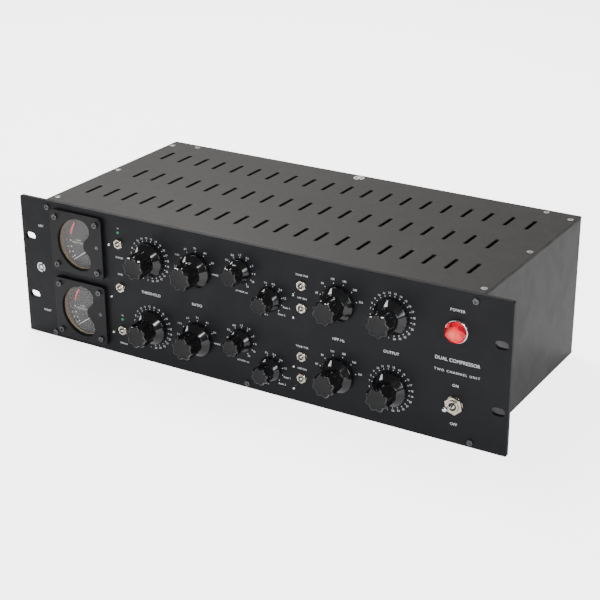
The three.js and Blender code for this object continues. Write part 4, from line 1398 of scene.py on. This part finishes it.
def make_socket(name):
    """A three-pole audio connector: flange, round bore, and either three pins or a holed insert."""
    x, z = centre_of(f"{name}_socket")
    place = on_rear(x, z, STAND_OFF)
    bm = bmesh.new()
    bore, depth, face = XLR["bore"], XLR["depth"], XLR["flange"]
    outlines = [rounded_rectangle(0, 0, XLR["width"], XLR["height"], 2.6), circle(0, 0, bore + 1.2, 60)]
    flange = plate(f"{name}_flange", outlines, face, place, 0.35, "socket", CHASSIS)
    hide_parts(f"{name}_socket")
    rings = [(bore + 1.4, face - 0.3), (bore + 1.1, face), (bore + 0.3, face), (bore, face - 0.3)]
    rings += [(bore, face - depth), (1.0, face - depth)]
    rings += [(1.0, face - depth - 1.5), (bore + 1.4, face - depth - 1.5)]
    loft(bm, rings, place, 64, closed_loop=True)
    finish_mesh(bm, f"{name}_shell", "zinc", CHASSIS, 35)
    contacts = bmesh.new()
    is_input = "input" in name
    sleeve = [(1.35, face - 0.75), (1.35, face - 0.35), (0.85, face - 0.35)]
    sleeve += [(0.85, face - 7.0), (1.35, face - 7.0)]
    pin = [(1.2, face - depth), (1.2, face - 2.2), (1.0, face - 1.6), (0.4, face - 1.2)]
    for degrees in (90, 210, 330):
        spot = place @ at_angle(degrees if is_input else degrees + 180, XLR["contacts"])
        loft(contacts, sleeve if is_input else pin, spot, 20, closed_loop=is_input)
    finish_mesh(contacts, f"{name}_contacts", "brass", CHASSIS, 35)
    if is_input:
        insert = bmesh.new()
        radius = XLR["insert"]
        body = [(radius, face - depth)] + rounded_step(radius, face - 0.5, 0.5) + [(0.5, face - 0.5)]
        loft(insert, body, place, 48)
        box(insert, (-3.2, radius + 0.6, face - 0.2), (3.2, radius + 5.4, face), place, 0.05)
        finish_mesh(insert, f"{name}_insert", "socket", CHASSIS, 35)
    for index, (sx, sz) in enumerate(((-1, 1), (1, -1))):
        spot = on_rear(x - sx * 9.7, z + sz * 12.0, STAND_OFF + face - SCREW_SUNK)
        countersunk_screw(f"{name}_screw_{index + 1}", spot, 2.3, "screw")


def make_inlet():
    """Mains inlet with three blades in its cavity and a fuse drawer above."""
    x, z = centre_of("mains_inlet")
    place = on_rear(x, z, STAND_OFF)
    wide, tall = INLET["cavity"]
    face = (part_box("mains_inlet")[1].y - REAR_HIGH.y) / MM - STAND_OFF
    cut = 4.0
    drop = INLET["drop"]
    side, low, high = wide / 2, drop - tall / 2, drop + tall / 2
    cavity = [(-side, low), (side, low), (side, high - cut)]
    cavity += [(side - cut, high), (-side + cut, high), (-side, high - cut)]
    outline = rounded_rectangle(0, 0, INLET["width"], INLET["height"], 3.0)
    drawer = rounded_rectangle(0, 11.2, 22.0, 8.0, 0.8)
    flange = plate("inlet_flange", [outline, cavity, drawer], face, place, 0.3, "socket", CHASSIS)
    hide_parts("mains_inlet")
    bm = bmesh.new()
    depth, wall, gap = INLET["depth"], INLET["wall"], INLET["gap"]
    reach, back, front = side + wall, face - depth - wall, face - 0.4
    box(bm, (-reach, low - wall, back), (reach, low - gap, front), place)
    box(bm, (-reach, high + gap, back), (reach, high + wall, front), place)
    for sign in (-1, 1):
        inner, outer = sorted((sign * (side + gap), sign * reach))
        box(bm, (inner, low - wall, back), (outer, high + wall, front), place)
    box(bm, (-reach, low - wall, back), (reach, high + wall, face - depth), place)
    box(bm, (-10.8, 7.4, face - 8), (10.8, 15.0, face - 0.15), place, 0.3)
    box(bm, (-4.0, 10.6, face - 0.3), (4.0, 11.8, face - 0.02), place, 0.1)
    finish_mesh(bm, "inlet_body", "socket", CHASSIS, 30)
    blades = bmesh.new()
    for bx, bz in ((-7.0, drop - 2.0), (7.0, drop - 2.0), (0.0, drop + 2.2)):
        box(blades, (bx - 1.0, bz - 2.0, face - depth), (bx + 1.0, bz + 2.0, face - 3.0), place, 0.3)
    finish_mesh(blades, "inlet_blades", "zinc", CHASSIS, 30)
    for index, sign in enumerate((-1, 1)):
        spot = on_rear(x + sign * 20.5, z, STAND_OFF + face - SCREW_SUNK)
        countersunk_screw(f"inlet_screw_{index + 1}", spot, 2.6, "screw")


def make_rear_words(thickness):
    bm = bmesh.new()
    _, socket_z = centre_of("left_input_socket")
    words = []
    for side in SIDES:
        input_x, _ = centre_of(f"{side}_input_socket")
        output_x, _ = centre_of(f"{side}_output_socket")
        words.append(("INPUT", input_x, socket_z - 21, 2.6, 1.0))
        words.append(("OUTPUT", output_x, socket_z - 21, 2.6, 1.0))
        words.append((side.upper(), (input_x + output_x) / 2, socket_z + 22, 3.0, 1.1))
    inlet_x, inlet_z = centre_of("mains_inlet")
    words.append(("MAINS", inlet_x, inlet_z - 24, 2.6, 1.0))
    words.append(("FUSE", inlet_x, inlet_z + 21.5, 2.0, 1.0))
    for text, x, z, cap, spacing in words:
        word(bm, text, cap, on_rear(x, z), spacing, thickness)
    finish_mesh(bm, "rear_words", "ink", CHASSIS, 30)


# ---------------------------------------------------------------- inside
def paint_inside():
    for board in ("left_control", "right_control", "power", "audio"):
        paint(f"{board}_board", "board")
    paint("mains_transformer", "wound")


# ---------------------------------------------------------------- stage
def area_light(name, place, target, size, power, tint):
    light = bpy.data.lights.new(name, "AREA")
    light.shape = "RECTANGLE"
    light.size, light.size_y = size
    light.energy = power
    light.color = tint
    lamp = bpy.data.objects.new(name, light)
    lamp.location = place
    lamp.rotation_euler = (Vector(target) - Vector(place)).to_track_quat("-Z", "Y").to_euler()
    bpy.context.scene.collection.objects.link(lamp)


def make_floor(settings):
    bm = bmesh.new()
    reach = 6.0
    corners = ((-reach, -reach, 0), (reach, -reach, 0), (reach, reach, 0), (-reach, reach, 0))
    bm.faces.new([bm.verts.new(corner) for corner in corners])
    mesh = bpy.data.meshes.new("floor")
    bm.to_mesh(mesh)
    bm.free()
    floor = bpy.data.objects.new("floor", mesh)
    bpy.context.scene.collection.objects.link(floor)
    material, graph, shader = start_material("Floor")
    tone = settings.floor_colour
    patch = graph.add("ShaderNodeTexNoise", {"Vector": graph.coordinates(), "Scale": 3.0})
    mixed = graph.mix(patch.outputs["Fac"], lighter(tone, 0.99), opaque(tone))
    material.node_tree.links.new(mixed, shader.inputs["Base Color"])
    seen = graph.add("ShaderNodeLightPath").outputs["Is Camera Ray"]
    glow = graph.mix(seen, lighter(tone, settings.floor_glow), opaque((1.0, 1.0, 1.0)))
    material.node_tree.links.new(glow, shader.inputs["Emission Color"])
    shader.inputs["Emission Strength"].default_value = settings.backdrop
    shader.inputs["Roughness"].default_value = 0.9
    shader.inputs["Specular IOR Level"].default_value = 0.1
    mesh.materials.append(material)


def make_camera(settings):
    data = bpy.data.cameras.new("camera")
    data.sensor_width = 36
    data.lens = settings.lens
    data.shift_x, data.shift_y = CAMERA_SHIFT
    data.clip_end = 50
    camera = bpy.data.objects.new("camera", data)
    azimuth, elevation = settings.azimuth, settings.elevation
    away = Vector((
        math.sin(azimuth) * math.cos(elevation),
        -math.cos(azimuth) * math.cos(elevation),
        math.sin(elevation),
    ))
    camera.location = Vector(settings.aim) + away * settings.distance
    camera.rotation_euler = (-away).to_track_quat("-Z", "Y").to_euler()
    bpy.context.scene.collection.objects.link(camera)
    bpy.context.scene.camera = camera


def make_world(settings):
    world = bpy.data.worlds.new("sky")
    world.use_nodes = True
    background = world.node_tree.nodes["Background"]
    background.inputs["Color"].default_value = (1.0, 1.0, 1.0, 1.0)
    seen = world.node_tree.nodes.new("ShaderNodeLightPath").outputs["Is Camera Ray"]
    strength = world.node_tree.nodes.new("ShaderNodeMapRange")
    strength.inputs["To Min"].default_value = settings.sky_strength
    strength.inputs["To Max"].default_value = settings.backdrop
    world.node_tree.links.new(seen, strength.inputs["Value"])
    world.node_tree.links.new(strength.outputs["Result"], background.inputs["Strength"])
    bpy.context.scene.world = world


# ---------------------------------------------------------------- operators
class RACK_OT_stage(bpy.types.Operator):
    """Add the pale floor, soft lights, sky and camera"""

    bl_idname = "rack.stage"
    bl_label = "Stage"

    def execute(self, context):
        settings = context.scene.rack_stage
        make_floor(settings)
        make_camera(settings)
        make_world(settings)
        aim = (0.0, 0.0, 0.06)
        cool, neutral, warm = (0.96, 0.98, 1.0), (1.0, 0.99, 0.98), (1.0, 0.95, 0.88)
        key, front, fill = settings.key_power, settings.front_power, settings.fill_power
        area_light("overhead", (-0.8, 0.45, 1.4), aim, (0.85, 0.6), key, neutral)
        area_light("front", (1.0, -2.0, 1.1), aim, (0.6, 1.0), front, cool)
        area_light("right", (1.9, -1.1, 0.8), aim, (0.35, 0.9), front * RIGHT_SHARE, cool)
        area_light("behind", (-0.85, 1.8, 1.0), aim, (1.9, 0.9), fill, warm)
        return {"FINISHED"}


class RACK_OT_materials(bpy.types.Operator):
    """Make every finish from the settings"""

    bl_idname = "rack.materials"
    bl_label = "Finishes"

    def execute(self, context):
        build_materials(context.scene)
        return {"FINISHED"}


class RACK_OT_panel(bpy.types.Operator):
    """Add the front plate with its holes and screws"""

    bl_idname = "rack.panel"
    bl_label = "Front panel"

    def execute(self, context):
        make_panel(context.scene)
        return {"FINISHED"}


class RACK_OT_printing(bpy.types.Operator):
    """Add the printed scales and words"""

    bl_idname = "rack.printing"
    bl_label = "Printing"

    def execute(self, context):
        make_printing(context.scene)
        return {"FINISHED"}


class RACK_OT_knobs(bpy.types.Operator):
    """Add the fluted knobs with their pointers"""

    bl_idname = "rack.knobs"
    bl_label = "Knobs"

    def execute(self, context):
        for side, kind in knob_names():
            make_knob(context.scene, side, kind)
        return {"FINISHED"}


class RACK_OT_meters(bpy.types.Operator):
    """Add both moving-needle meters"""

    bl_idname = "rack.meters"
    bl_label = "Meters"

    def execute(self, context):
        for side in SIDES:
            make_meter(context.scene, side)
        return {"FINISHED"}


class RACK_OT_switches(bpy.types.Operator):
    """Add the toggle switches"""

    bl_idname = "rack.switches"
    bl_label = "Switches"

    def execute(self, context):
        for name in SWITCHES + (POWER_SWITCH,):
            make_switch(name)
        return {"FINISHED"}


class RACK_OT_lamps(bpy.types.Operator):
    """Add the jewel lamp and the small indicators"""

    bl_idname = "rack.lamps"
    bl_label = "Lamps"

    def execute(self, context):
        make_lamp()
        make_indicators()
        return {"FINISHED"}


class RACK_OT_case(bpy.types.Operator):
    """Add the slotted cover, the folded sides and their screws"""

    bl_idname = "rack.case"
    bl_label = "Case"

    def execute(self, context):
        make_case(context.scene)
        return {"FINISHED"}


class RACK_OT_rear(bpy.types.Operator):
    """Add the rear plate with its sockets and words"""

    bl_idname = "rack.rear"
    bl_label = "Rear"

    def execute(self, context):
        make_rear(context.scene)
        return {"FINISHED"}


class RACK_OT_inside(bpy.types.Operator):
    """Finish the boards and the transformer inside the case"""

    bl_idname = "rack.inside"
    bl_label = "Inside"

    def execute(self, context):
        paint_inside()
        return {"FINISHED"}


OPERATORS = (
    RACK_OT_materials,
    RACK_OT_stage,
    RACK_OT_panel,
    RACK_OT_printing,
    RACK_OT_knobs,
    RACK_OT_meters,
    RACK_OT_switches,
    RACK_OT_lamps,
    RACK_OT_case,
    RACK_OT_rear,
    RACK_OT_inside,
)


class RACK_PT_sidebar(bpy.types.Panel):
    """Settings and pieces of the rack compressor"""

    bl_idname = "RACK_PT_sidebar"
    bl_label = "Rack compressor"
    bl_space_type = "VIEW_3D"
    bl_region_type = "UI"
    bl_category = "Rack compressor"

    def draw(self, context):
        layout = self.layout
        for key in SETTINGS:
            settings = getattr(context.scene, key)
            group = layout.box()
            for name in settings.__annotations__:
                group.prop(settings, name)
        for operator in OPERATORS:
            layout.operator(operator.bl_idname)


def register():
    for key, settings in SETTINGS.items():
        bpy.utils.register_class(settings)
        setattr(bpy.types.Scene, key, bpy.props.PointerProperty(type=settings))
    for operator in OPERATORS:
        bpy.utils.register_class(operator)
    bpy.utils.register_class(RACK_PT_sidebar)


def unregister():
    bpy.utils.unregister_class(RACK_PT_sidebar)
    for operator in reversed(OPERATORS):
        bpy.utils.unregister_class(operator)
    for key, settings in reversed(SETTINGS.items()):
        delattr(bpy.types.Scene, key)
        bpy.utils.unregister_class(settings)


def main():
    register()
    for operator in OPERATORS:
        group, name = operator.bl_idname.split(".")
        getattr(getattr(bpy.ops, group), name)()


if __name__ == "__main__":
    main()
